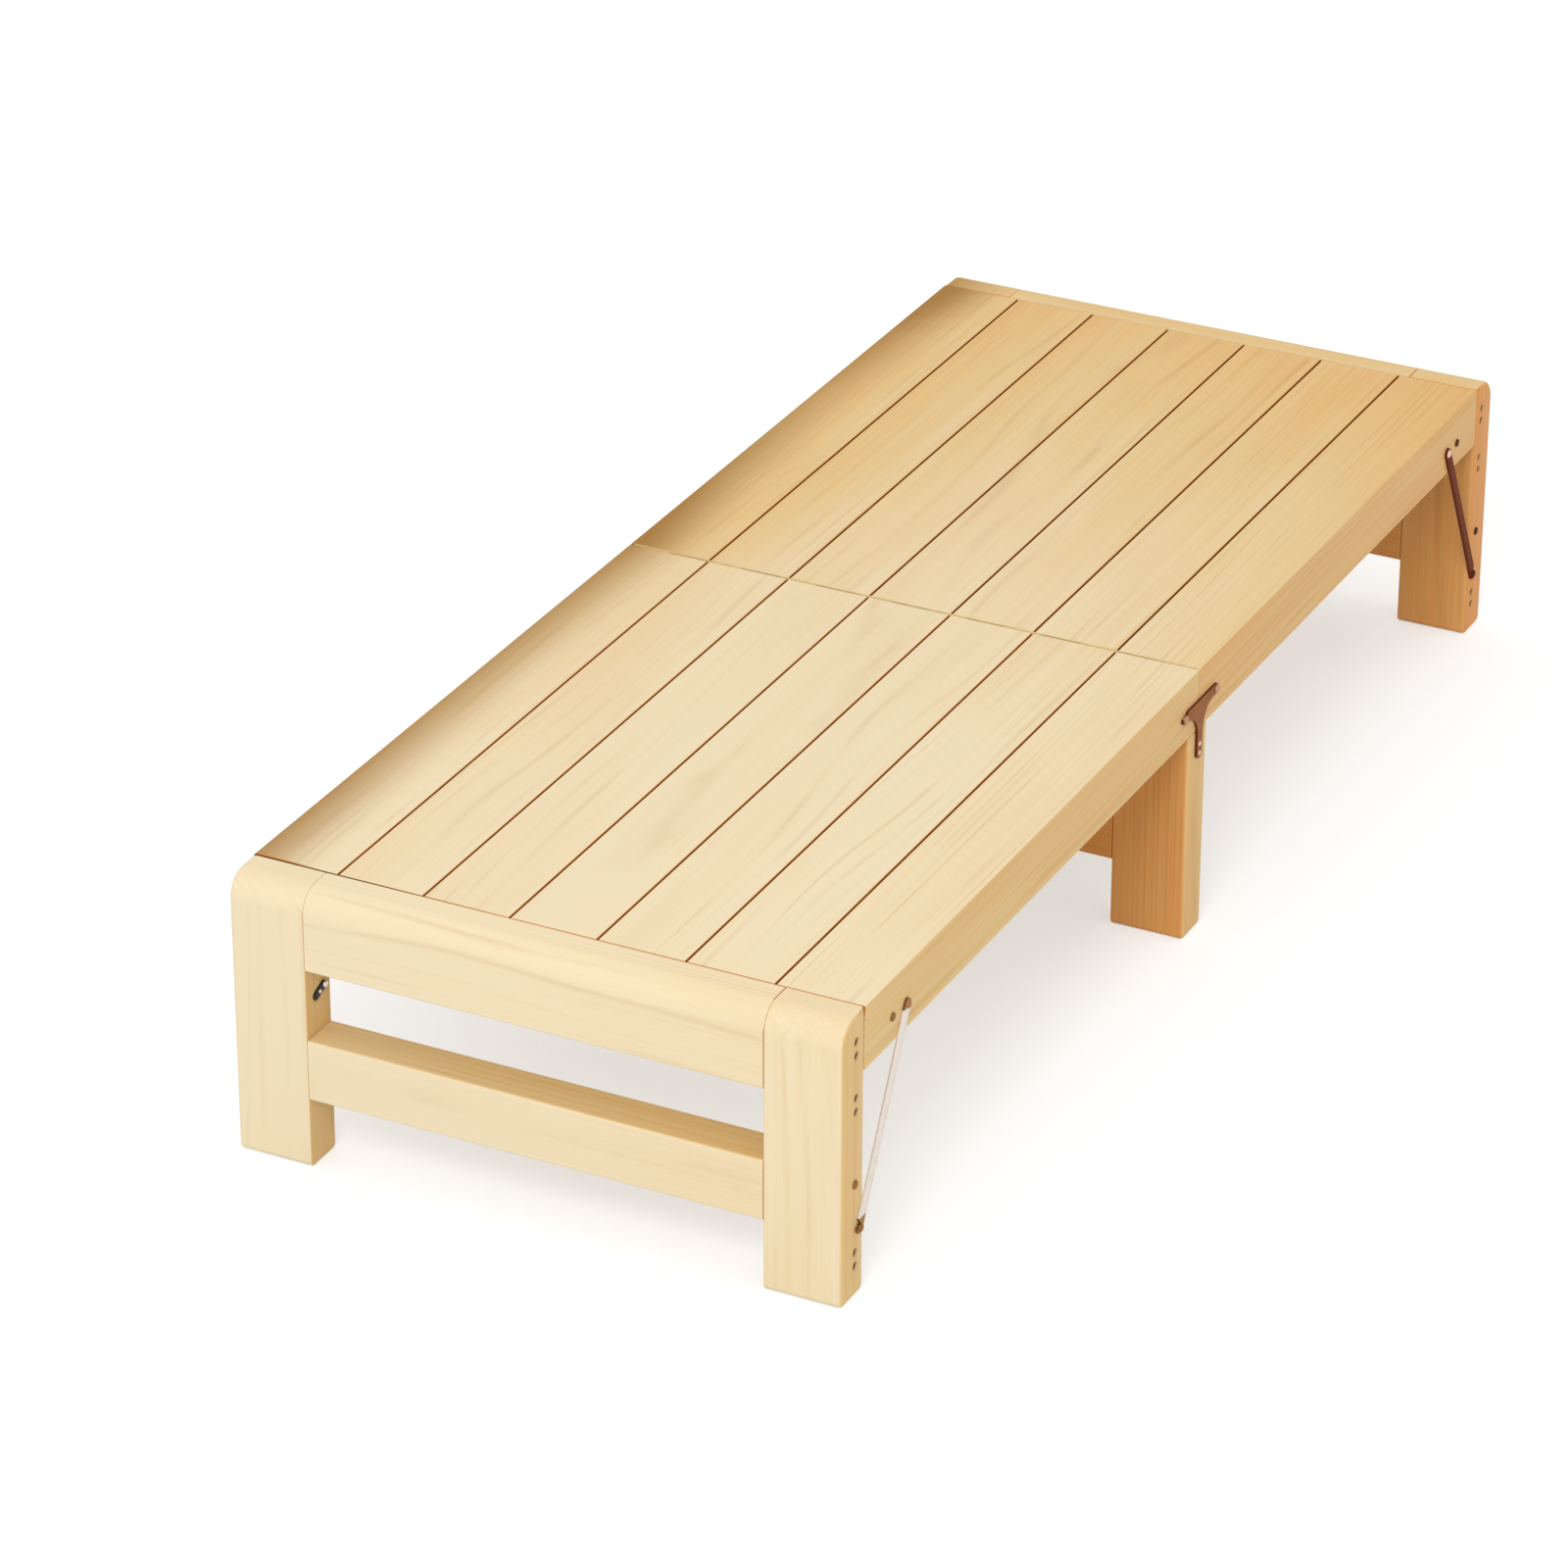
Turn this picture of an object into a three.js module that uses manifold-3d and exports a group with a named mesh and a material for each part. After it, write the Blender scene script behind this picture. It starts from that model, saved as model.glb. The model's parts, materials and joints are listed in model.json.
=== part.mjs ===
// Folding bed of pale solid wood: two slatted deck halves joined by a long hinge at the
// seam, a folding leg frame under each end, a folding pair of legs under the seam, steel
// tee plates that hook the middle legs to the rails, and four diagonal steel braces.
// Millimetres, +Z up. The origin is on the floor under the centre of the bed, the head
// end lies towards -Y and the foot end towards +Y, and right is +X.

import * as THREE from 'three';
import { mergeVertices } from 'three/addons/utils/BufferGeometryUtils.js';
import Module from 'manifold-3d';

const wasm = await Module();
wasm.setup();

// Overall sizes
const bedLength = 2000;
const deckHeight = 370;

// Deck boards and the timber under them
const boardCount = 7;
const boardWidth = 112;
const boardGap = 2;
const boardThickness = 18;
const boardBevel = 0.9;
const railHeight = 65;
const railThickness = 30;
const railSeamInset = 0.6;
const centreBattenWidth = 40;
const centreBattenHeight = 30;
const battenBevel = 1;
const deckEndGap = 0.5;

// Leg frames
const frameDepth = 57;
const legWidth = 99;
const topRoundRadius = 32;
const topRoundSteps = 8;
const upperRailHeight = 104;
const lowerRailHeight = 80;
const lowerRailClear = 93;
const frameBevel = 2;
const middleFrameClear = 0.3;
const middleUpperRailHeight = 50;

// Long hinges of the leg frames
const hingeLeafThickness = 2;
const hingeLeafReach = 17;
const hingeMargin = 18;
const hingeAxisDrop = 3;
const hingeKnuckleRadius = 2.5;
const hingeKnuckleCount = 15;
const hingeSides = 12;
const hingeGap = 0.3;

// Long hinge of the seam
const seamAxisRise = 0.4;
const seamLeafThickness = 0.8;
const seamLeafHeight = 16;
const seamLeafDrop = 1.2;
const seamKnuckleRadius = 0.9;
const seamKnuckleGap = 0.3;
const seamKnuckleCount = 15;
const seamHingeMargin = 6;
const seamSides = 10;

// Steel plates on the outer faces
const plateGap = 0.3;
const plateThickness = 3;
const roundSteps = 10;

// Tee plates, with drops measured from the underside of the rails
const teeTipRadius = 7;
const teeStemHalfWidth = 8;
const teeStemDrop = 39;
const teeFilletRadius = 32;
const teeScrewDrop = 19;
const teeScrewPitch = 12.5;
const headNotchLeanShare = 1;
const headNotchInnerShare = 0.62;
const footNotchDropShare = 0.42;
const footNotchFlareShare = 0.95;

// Braces. The pivot is placed from the bed's end and the rail's top, and the stud from the
// bed's end and the lower rail's underside.
const bracePivotInset = 164;
const bracePivotDrop = 32;
const braceStudInset = 43;
const braceStudDrop = 4;
const braceHalfWidth = 7.5;
const braceNotchFlareShare = 0.12;

// Studs, rivets and tie rods, all with the same round head
const boltRadius = 3;
const boltClear = 0.4;
const boltHeadRadius = 5.5;
const boltHeadHeight = 3;
const boltHeadGap = 0.3;
const boltSides = 12;
const boltDomeSteps = 3;
const rivetLength = 24;
const studLength = 40;

// Tie rods: how far each is from the seam or the bed's end, how far below the rail's top or
// above the lower rail's underside, and the wood beyond it in its batten
const seamRodY = 48;
const seamRodDrop = 29;
const seamRodCover = 24.6;
const endRodInset = 128;
const endRodDrop = 31;
const endRodCover = 19.5;
const legRodInset = 34;
const legRodRise = 57;

// Round recesses of the frame screws. Two pairs are placed from the deck and one from the
// floor.
const recessRadius = 4.2;
const recessDepth = 5;
const recessInset = 36.5;
const recessPitch = 18;
const recessHighDrop = 35;
const recessMiddleDrop = 108;
const recessLow = 58;

// Screws of the tee plates
const screwRadius = 1.8;
const screwClear = 0.3;
const screwHeadRadius = 3.4;
const screwHeadHeight = 1.6;
const screwLength = 28;

// One overrun for every cut
const overrun = 4;

// Places worked out from the sizes
const halfLength = bedLength / 2;
const boardPitch = boardWidth + boardGap;
const deckWidth = boardCount * boardWidth + (boardCount - 1) * boardGap;
const halfWidth = deckWidth / 2;
const railTop = deckHeight - boardThickness;
const railBottom = railTop - railHeight;
const frameInner = halfLength - frameDepth;
const deckEnd = frameInner - deckEndGap;
const legInner = halfWidth - legWidth;
const railInner = halfWidth - railThickness;
const boardSeamInset = seamLeafThickness + seamKnuckleGap;
const halfDepth = frameDepth / 2;
const middleFrameTop = railBottom - middleFrameClear;
const endAxisY = frameInner - hingeAxisDrop;
const middleAxisY = halfDepth + hingeAxisDrop;
const legAxisZ = railBottom - hingeAxisDrop;
const seamAxisZ = deckHeight + seamAxisRise;
const seamRodZ = railTop - seamRodDrop;
const endRodY = halfLength - endRodInset;
const endRodZ = railTop - endRodDrop;
const legRodY = halfLength - legRodInset;
const legRodZ = lowerRailClear + legRodRise;
const seamBattenWidth = seamRodY + seamRodCover - railSeamInset;
const endBattenWidth = deckEnd - endRodY + endRodCover;
const teeTop = seamRodZ + teeTipRadius;
const teeArmBottom = seamRodZ - teeTipRadius;
const teeStemBottom = railBottom - teeStemDrop;
const teeScrewHigh = railBottom - teeScrewDrop;
const teeScrewLow = teeScrewHigh - teeScrewPitch;
const bracePivotY = halfLength - bracePivotInset;
const bracePivotZ = railTop - bracePivotDrop;
const braceStudY = halfLength - braceStudInset;
const braceStudZ = lowerRailClear - braceStudDrop;
const recessY = halfLength - recessInset;
const recessTops = [deckHeight - recessHighDrop, deckHeight - recessMiddleDrop, recessLow];
const plateFace = plateGap + plateThickness;
const holeRadius = boltRadius + boltClear;
const sides = [['left', -1], ['right', 1]];

// Colours, roughness and metalness of each finish
const finishes = {
  pine: { color: 0xe9d3a4, roughness: 0.5, metalness: 0 },
  pineShade: { color: 0xd9b87c, roughness: 0.55, metalness: 0 },
  bronze: { color: 0x7a4a2c, roughness: 0.4, metalness: 0.8 },
  steel: { color: 0xd8d2cf, roughness: 0.25, metalness: 1 },
  darkSteel: { color: 0x3a2a22, roughness: 0.35, metalness: 0.9 },
};

// Section planes: a shape's own x and y become the first two axes, and it is pushed along
// the third one.
const alongX = new THREE.Matrix4().makeBasis(
  new THREE.Vector3(0, 1, 0), new THREE.Vector3(0, 0, 1), new THREE.Vector3(1, 0, 0));
const alongMinusY = new THREE.Matrix4().makeBasis(
  new THREE.Vector3(1, 0, 0), new THREE.Vector3(0, 0, 1), new THREE.Vector3(0, -1, 0));

const bed = new THREE.Group();

// A closed mesh with only shared corner points, ready to be cut or joined
function toSolid(geometry) {
  const bare = geometry.index ? geometry.toNonIndexed() : geometry.clone();
  bare.deleteAttribute('normal');
  bare.deleteAttribute('uv');
  const merged = mergeVertices(bare);
  const index = merged.index.array;
  const corners = [];
  for (let i = 0; i < index.length; i += 3) {
    const [a, b, c] = [index[i], index[i + 1], index[i + 2]];
    if (a !== b && b !== c && c !== a) corners.push(a, b, c);
  }
  return new wasm.Manifold(new wasm.Mesh({
    numProp: 3,
    vertProperties: new Float32Array(merged.attributes.position.array),
    triVerts: new Uint32Array(corners),
  }));
}

// The vertices and triangles of a cut or joined solid
function toGeometry(solid) {
  const mesh = solid.getMesh();
  const geometry = new THREE.BufferGeometry();
  geometry.setAttribute('position', new THREE.Float32BufferAttribute(mesh.vertProperties, 3));
  geometry.setIndex(new THREE.Uint32BufferAttribute(mesh.triVerts, 1));
  const faceted = geometry.toNonIndexed();
  faceted.computeVertexNormals();
  return faceted;
}

function join(geometries) {
  return toGeometry(geometries.map(toSolid).reduce((sum, solid) => sum.add(solid)));
}

function cut(geometry, tools) {
  return toGeometry(
    tools.map(toSolid).reduce((rest, tool) => rest.subtract(tool), toSolid(geometry)));
}

function block(low, high) {
  const size = new THREE.Vector3().subVectors(high, low);
  const centre = new THREE.Vector3().addVectors(low, high).multiplyScalar(1 / 2);
  const geometry = new THREE.BoxGeometry(size.x, size.y, size.z);
  return geometry.translate(centre.x, centre.y, centre.z);
}

// A section pushed from one place to another, with its end edges eased by a bevel
function push(shape, basis, from, to, bevel) {
  const geometry = new THREE.ExtrudeGeometry(shape, {
    depth: Math.abs(to - from) - 2 * bevel,
    bevelEnabled: bevel > 0,
    bevelThickness: bevel,
    bevelSize: bevel,
    bevelOffset: -bevel,
    bevelSegments: 2,
    curveSegments: roundSteps,
  });
  geometry.translate(0, 0, Math.min(from, to) + bevel);
  return geometry.applyMatrix4(basis);
}

// A rod along X, used for holes and knuckles
function rod(radius, fromX, toX, y, z, facets) {
  const geometry = new THREE.CylinderGeometry(radius, radius, Math.abs(toX - fromX), facets);
  geometry.rotateZ(Math.PI / 2);
  return geometry.translate((fromX + toX) / 2, y, z);
}

// A turned piece. Its profile of [radius, distance] points runs outwards from a face at X.
function turned(profile, side, faceX, y, z) {
  const points = profile.map(([radius, distance]) => new THREE.Vector2(radius, distance));
  const geometry = new THREE.LatheGeometry(points, boltSides);
  geometry.rotateZ(-Math.PI / 2);
  if (side < 0) geometry.rotateY(Math.PI);
  return toGeometry(toSolid(geometry.translate(faceX, y, z)));
}

function addPiece(name, geometry, finish) {
  const mesh = new THREE.Mesh(geometry, new THREE.MeshStandardMaterial(finishes[finish]));
  mesh.name = name;
  bed.add(mesh);
  return mesh;
}

// A rectangular section standing on its own x axis, with its lower and its upper corners
// eased by amounts of their own
function easedRectangle(width, height, lowEase, highEase) {
  const half = width / 2;
  const right = [
    [half - lowEase, 0], [half, lowEase], [half, height - highEase], [half - highEase, height],
  ];
  const left = right.map(([x, z]) => [-x, z]).reverse();
  const corners = [...right, ...left].map(([x, z]) => new THREE.Vector2(x, z));
  return new THREE.Shape(corners.filter((corner, i) => !corner.equals(corners.at(i - 1))));
}

// A rectangle across the bed's side view. It may be given from either end.
function sideRectangle(fromY, toY, fromZ, toZ) {
  const lowY = Math.min(fromY, toY);
  const highY = Math.max(fromY, toY);
  return new THREE.Shape([
    new THREE.Vector2(lowY, fromZ), new THREE.Vector2(highY, fromZ),
    new THREE.Vector2(highY, toZ), new THREE.Vector2(lowY, toZ),
  ]);
}

// The outline of a round bolt head, from its rim to its top
function headProfile(base) {
  const profile = [[boltHeadRadius, base]];
  for (let i = 1; i < boltDomeSteps; i += 1) {
    const angle = (i / boltDomeSteps) * Math.PI / 2;
    profile.push([boltHeadRadius * Math.cos(angle), base + boltHeadHeight * Math.sin(angle)]);
  }
  profile.push([0, base + boltHeadHeight]);
  return profile;
}

// Round-headed stud, with its head clear of the wood by the thickness of what it holds
function stud(side, y, z, standOff, length) {
  const profile = [[0, -length], [boltRadius, -length], [boltRadius, standOff], ...headProfile(standOff)];
  return turned(profile, side, side * halfWidth, y, z);
}

// Rod through the whole width of the bed, with a round head on each outer face
function tieRod(y, z, standOff) {
  const outward = headProfile(halfWidth + standOff);
  const inward = outward.map(([radius, distance]) => [radius, -distance]).reverse();
  const neck = halfWidth + standOff;
  return turned([...inward, [boltRadius, -neck], [boltRadius, neck], ...outward], 1, 0, y, z);
}

function studHole(side, y, z, length) {
  const inner = side * (halfWidth - length - boltHeadGap);
  return rod(holeRadius, inner, side * (halfWidth + overrun), y, z, boltSides);
}

function rodHole(y, z) {
  return rod(holeRadius, -halfWidth - overrun, halfWidth + overrun, y, z, boltSides);
}

// A notch in a plate: round at the pin, widening as it runs out along a direction
function notch(side, pin, direction, length, flareLeft, flareRight) {
  const ahead = direction.clone().normalize();
  const left = new THREE.Vector2(-ahead.y, ahead.x);
  const end = pin.clone().addScaledVector(ahead, length);
  const corners = [
    pin.clone().addScaledVector(left, holeRadius),
    pin.clone().addScaledVector(left, -holeRadius),
    end.clone().addScaledVector(left, -holeRadius - flareRight),
    end.clone().addScaledVector(left, holeRadius + flareLeft),
  ];
  const from = side * halfWidth;
  const to = side * (halfWidth + plateFace + overrun);
  const mouth = push(new THREE.Shape(corners), alongX, from, to, 0);
  return join([mouth, rod(holeRadius, from, to, pin.x, pin.y, 2 * roundSteps)]);
}

// One leaf of a frame's long hinge. The deck leaf lies under the timber and the leg leaf on
// the frame's inner face. It is made with its axis at the origin and the deck towards +Y.
function frameHingeLeaf(onDeck) {
  const halfSpan = halfWidth - hingeMargin;
  const pitch = 2 * halfSpan / hingeKnuckleCount;
  const clear = hingeKnuckleRadius + hingeGap;
  const leafLow = onDeck ? [clear, hingeAxisDrop - hingeLeafThickness] : [-hingeAxisDrop, -hingeLeafReach];
  const leafHigh = onDeck ? [hingeLeafReach, hingeAxisDrop] : [hingeLeafThickness - hingeAxisDrop, -clear];
  const neckLow = onDeck ? [0, leafLow[1]] : [leafLow[0], -clear - hingeGap];
  const neckHigh = onDeck ? [clear + hingeGap, leafHigh[1]] : [leafHigh[0], 0];
  const pieces = [block(new THREE.Vector3(-halfSpan, ...leafLow), new THREE.Vector3(halfSpan, ...leafHigh))];
  for (let i = onDeck ? 0 : 1; i < hingeKnuckleCount; i += 2) {
    const from = -halfSpan + i * pitch + hingeGap / 2;
    const to = from + pitch - hingeGap;
    pieces.push(rod(hingeKnuckleRadius, from, to, 0, 0, hingeSides));
    pieces.push(block(new THREE.Vector3(from, ...neckLow), new THREE.Vector3(to, ...neckHigh)));
  }
  return join(pieces);
}

// Both leaves of one frame's hinge, turned half round where the deck lies towards -Y
function addFrameHinge(name, axisY, deckTowardsMinusY) {
  for (const [label, onDeck] of [['deck_leaf', true], ['leg_leaf', false]]) {
    const leaf = frameHingeLeaf(onDeck);
    if (deckTowardsMinusY) leaf.rotateZ(Math.PI);
    addPiece(`${name}_hinge_${label}`, leaf.translate(0, axisY, legAxisZ), 'darkSteel');
  }
}

// Side view of an end frame's timber, square at the deck and widely rounded at its outer
// top edge
function endSection(bottom, end) {
  const outer = end * halfLength;
  const inner = end * frameInner;
  const centreY = outer - end * topRoundRadius;
  const centreZ = deckHeight - topRoundRadius;
  const points = [new THREE.Vector2(inner, bottom), new THREE.Vector2(outer, bottom)];
  for (let i = 0; i <= topRoundSteps; i += 1) {
    const angle = (i / topRoundSteps) * Math.PI / 2;
    points.push(new THREE.Vector2(
      centreY + end * topRoundRadius * Math.cos(angle),
      centreZ + topRoundRadius * Math.sin(angle)));
  }
  points.push(new THREE.Vector2(inner, deckHeight));
  return new THREE.Shape(points);
}

// Recesses in the outer face of an end leg, in three pairs
function screwRecesses(side, end) {
  const inner = side * (halfWidth - recessDepth);
  const outer = side * (halfWidth + overrun);
  return recessTops.flatMap((top) => [top, top - recessPitch].map(
    (z) => rod(recessRadius, inner, outer, end * recessY, z, boltSides)));
}

// One end's leg frame: two legs, an upper and a lower rail, and what is fixed to them
function addEndFrame(name, end) {
  for (const [label, side] of sides) {
    const body = push(endSection(0, end), alongX, side * legInner, side * halfWidth, frameBevel);
    addPiece(`${name}_leg_${label}`, cut(body, [
      ...screwRecesses(side, end),
      rodHole(end * legRodY, legRodZ),
      studHole(side, end * braceStudY, braceStudZ, studLength),
    ]), 'pine');
    const brace = stud(side, end * braceStudY, braceStudZ, plateFace + boltHeadGap, studLength);
    addPiece(`${name}_brace_stud_${label}`, brace, 'bronze');
  }
  const upper = endSection(deckHeight - upperRailHeight, end);
  addPiece(`${name}_upper_rail`, push(upper, alongX, -legInner, legInner, frameBevel), 'pine');
  const lowerTop = lowerRailClear + lowerRailHeight;
  const lower = sideRectangle(end * frameInner, end * halfLength, lowerRailClear, lowerTop);
  addPiece(`${name}_lower_rail`, cut(
    push(lower, alongX, -legInner, legInner, frameBevel), [rodHole(end * legRodY, legRodZ)]), 'pine');
  addPiece(`${name}_leg_tie_rod`, tieRod(end * legRodY, legRodZ, boltHeadGap), 'bronze');
  addFrameHinge(`${name}_frame`, end * endAxisY, end > 0);
}

// One half of the deck: side rails, cross battens, boards and tie rods
function addDeckHalf(name, end) {
  const seamHole = rodHole(end * seamRodY, seamRodZ);
  const endHole = rodHole(end * endRodY, endRodZ);
  for (const [label, side] of sides) {
    const section = easedRectangle(railThickness, railHeight, battenBevel, 0);
    const body = push(section, alongMinusY, -end * railSeamInset, -end * deckEnd, battenBevel / 2);
    body.translate(side * (halfWidth - railThickness / 2), 0, railBottom);
    const pivotHole = studHole(side, end * bracePivotY, bracePivotZ, rivetLength);
    addPiece(`${name}_rail_${label}`, cut(body, [seamHole, endHole, pivotHole]), 'pineShade');
  }

  const centre = deckEnd / 2;
  const battens = [
    ['end_batten', deckEnd - endBattenWidth, deckEnd, railHeight, endHole],
    ['centre_batten', centre - centreBattenWidth / 2, centre + centreBattenWidth / 2,
      centreBattenHeight, null],
    ['seam_batten', railSeamInset, railSeamInset + seamBattenWidth, railHeight, seamHole],
  ];
  for (const [label, from, to, height, hole] of battens) {
    const section = sideRectangle(end * from, end * to, railTop - height, railTop);
    const body = push(section, alongX, -railInner, railInner, battenBevel);
    addPiece(`${name}_${label}`, hole ? cut(body, [hole]) : body, 'pine');
  }

  const section = easedRectangle(boardWidth, boardThickness, 0, boardBevel);
  const board = push(section, alongMinusY, -end * boardSeamInset, -end * deckEnd, boardBevel);
  for (let i = 0; i < boardCount; i += 1) {
    const mesh = addPiece(`${name}_board_${i + 1}`, board, 'pine');
    mesh.position.set((i - (boardCount - 1) / 2) * boardPitch, 0, railTop);
  }

  addPiece(`${name}_seam_tie_rod`, tieRod(
    end * seamRodY, seamRodZ, plateFace + boltHeadGap), 'bronze');
  addPiece(`${name}_end_tie_rod`, tieRod(end * endRodY, endRodZ, boltHeadGap), 'bronze');
}

// One leaf of the long seam hinge, with every other knuckle
function addSeamLeaf(name, end, first) {
  const halfSpan = halfWidth - seamHingeMargin;
  const pitch = 2 * halfSpan / seamKnuckleCount;
  const outer = end * boardSeamInset;
  const inner = end * (boardSeamInset - seamLeafThickness);
  const top = deckHeight - seamLeafDrop;
  const root = end * seamKnuckleRadius;
  const pieces = [block(
    new THREE.Vector3(-halfSpan, Math.min(inner, outer), top - seamLeafHeight),
    new THREE.Vector3(halfSpan, Math.max(inner, outer), top))];
  for (let i = first; i < seamKnuckleCount; i += 2) {
    const from = -halfSpan + i * pitch + seamKnuckleGap / 2;
    const to = from + pitch - seamKnuckleGap;
    pieces.push(rod(seamKnuckleRadius, from, to, 0, seamAxisZ, seamSides));
    pieces.push(block(
      new THREE.Vector3(from, Math.min(inner, root), top - seamKnuckleGap),
      new THREE.Vector3(to, Math.max(inner, root), seamAxisZ)));
  }
  addPiece(name, join(pieces), 'bronze');
}

// The middle leg frame: two legs with an upper and a lower rail between them
function addMiddleFrame() {
  for (const [label, side] of sides) {
    const section = sideRectangle(-halfDepth, halfDepth, 0, middleFrameTop);
    const body = push(section, alongX, side * legInner, side * halfWidth, frameBevel);
    const holes = [teeScrewHigh, teeScrewLow].map((z) => rod(screwRadius + screwClear,
      side * (halfWidth - screwLength - screwClear), side * (halfWidth + overrun), 0, z, boltSides));
    addPiece(`middle_leg_${label}`, cut(body, holes), 'pine');
    addPiece(`tee_plate_${label}`, teePlate(side), 'bronze');
  }
  const rails = [
    ['upper_rail', middleFrameTop - middleUpperRailHeight, middleFrameTop],
    ['lower_rail', lowerRailClear, lowerRailClear + lowerRailHeight],
  ];
  for (const [label, bottom, top] of rails) {
    const section = sideRectangle(-halfDepth, halfDepth, bottom, top);
    addPiece(`middle_${label}`, push(section, alongX, -legInner, legInner, frameBevel), 'pine');
  }
  addFrameHinge('middle_frame', middleAxisY, false);
}

// Domed screw of a tee plate, sunk into the plate so that the two are one piece
function teeScrew(side, z) {
  const base = plateGap + plateThickness / 2;
  const top = plateFace;
  const profile = [[0, -screwLength], [screwRadius, -screwLength + screwRadius], [screwRadius, base],
    [screwHeadRadius, base], [screwHeadRadius, top],
    [screwHeadRadius * Math.SQRT1_2, top + screwHeadHeight * Math.SQRT1_2],
    [0, top + screwHeadHeight]];
  return turned(profile, side, side * halfWidth, 0, z);
}

// Tee plate: two arms that hook over the ends of the seam tie rods, and a stem screwed to
// the middle leg. The head arm opens upwards, and the foot arm opens outwards and down.
function teePlate(side) {
  const shape = new THREE.Shape();
  const quarter = Math.PI / 2;
  const filletY = teeStemHalfWidth + teeFilletRadius;
  const filletZ = teeArmBottom - teeFilletRadius;
  const stemZ = teeStemBottom + teeStemHalfWidth;
  shape.moveTo(-seamRodY, teeTop);
  shape.absarc(-seamRodY, seamRodZ, teeTipRadius, quarter, 3 * quarter, false);
  shape.absarc(-filletY, filletZ, teeFilletRadius, quarter, 0, true);
  shape.absarc(0, stemZ, teeStemHalfWidth, 2 * quarter, 4 * quarter, false);
  shape.absarc(filletY, filletZ, teeFilletRadius, 2 * quarter, quarter, true);
  shape.absarc(seamRodY, seamRodZ, teeTipRadius, -quarter, quarter, false);
  shape.closePath();
  const from = side * (halfWidth + plateGap);
  const to = side * (halfWidth + plateFace);
  const reach = 3 * teeTipRadius;
  const headPin = new THREE.Vector2(-seamRodY, seamRodZ);
  const footPin = new THREE.Vector2(seamRodY, seamRodZ);
  const plate = cut(push(shape, alongX, from, to, 0), [
    notch(side, headPin, new THREE.Vector2(-headNotchLeanShare, 1), reach, 0, 0),
    notch(side, headPin, new THREE.Vector2(headNotchInnerShare, 1), reach, reach, 0),
    notch(side, footPin, new THREE.Vector2(1, -footNotchDropShare), reach, 0, reach * footNotchFlareShare),
  ]);
  return join([plate, teeScrew(side, teeScrewHigh), teeScrew(side, teeScrewLow)]);
}

// Diagonal brace: one piece with its rivet in the rail, and hooked round a stud in the leg.
// It swings up ahead of the folding leg until it lies along the rail.
function addBrace(name, end, side) {
  const pivot = new THREE.Vector2(end * bracePivotY, bracePivotZ);
  const pin = new THREE.Vector2(end * braceStudY, braceStudZ);
  const run = new THREE.Vector2().subVectors(pin, pivot);
  const angle = Math.atan2(run.y, run.x);
  const quarter = Math.PI / 2;
  const shape = new THREE.Shape();
  shape.absarc(pin.x, pin.y, braceHalfWidth, angle - quarter, angle + quarter, false);
  shape.absarc(pivot.x, pivot.y, braceHalfWidth, angle + quarter, angle + 3 * quarter, false);
  shape.closePath();
  const from = side * (halfWidth + plateGap);
  const to = side * (halfWidth + plateFace);
  const reach = 3 * braceHalfWidth;
  const flare = reach * braceNotchFlareShare;
  const plate = cut(push(shape, alongX, from, to, 0), [
    notch(side, pin, hookDirection(end), reach, end > 0 ? flare : 0, end > 0 ? 0 : flare),
  ]);
  const rivet = stud(side, pivot.x, pivot.y, plateFace, rivetLength);
  addPiece(name, join([plate, rivet]), end < 0 ? 'steel' : 'bronze');
}

// The way the stud leaves the brace as both start to turn. The leg folds a quarter turn
// while the brace comes level with the rail, and this is the difference of their speeds.
function hookDirection(end) {
  const fromLegAxis = new THREE.Vector2(braceStudY - endAxisY, braceStudZ - legAxisZ);
  const fromPivot = new THREE.Vector2(braceStudY - bracePivotY, braceStudZ - bracePivotZ);
  const braceTurn = Math.PI - Math.atan2(-fromPivot.y, fromPivot.x);
  const ratio = braceTurn / (Math.PI / 2);
  const outward = fromLegAxis.y - ratio * fromPivot.y;
  const upward = ratio * fromPivot.x - fromLegAxis.x;
  return new THREE.Vector2(end * outward, upward);
}

addDeckHalf('head', -1);
addDeckHalf('foot', 1);
addSeamLeaf('head_seam_hinge_leaf', -1, 0);
addSeamLeaf('foot_seam_hinge_leaf', 1, 1);
addEndFrame('head', -1);
addEndFrame('foot', 1);
addMiddleFrame();
for (const [label, side] of sides) {
  addBrace(`head_brace_${label}`, -1, side);
  addBrace(`foot_brace_${label}`, 1, side);
}

export default bed;
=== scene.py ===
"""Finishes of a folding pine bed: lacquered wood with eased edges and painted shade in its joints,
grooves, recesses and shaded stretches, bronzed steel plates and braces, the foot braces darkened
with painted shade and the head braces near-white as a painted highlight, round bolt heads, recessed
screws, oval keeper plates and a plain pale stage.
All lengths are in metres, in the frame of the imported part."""

import json
import math

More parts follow.
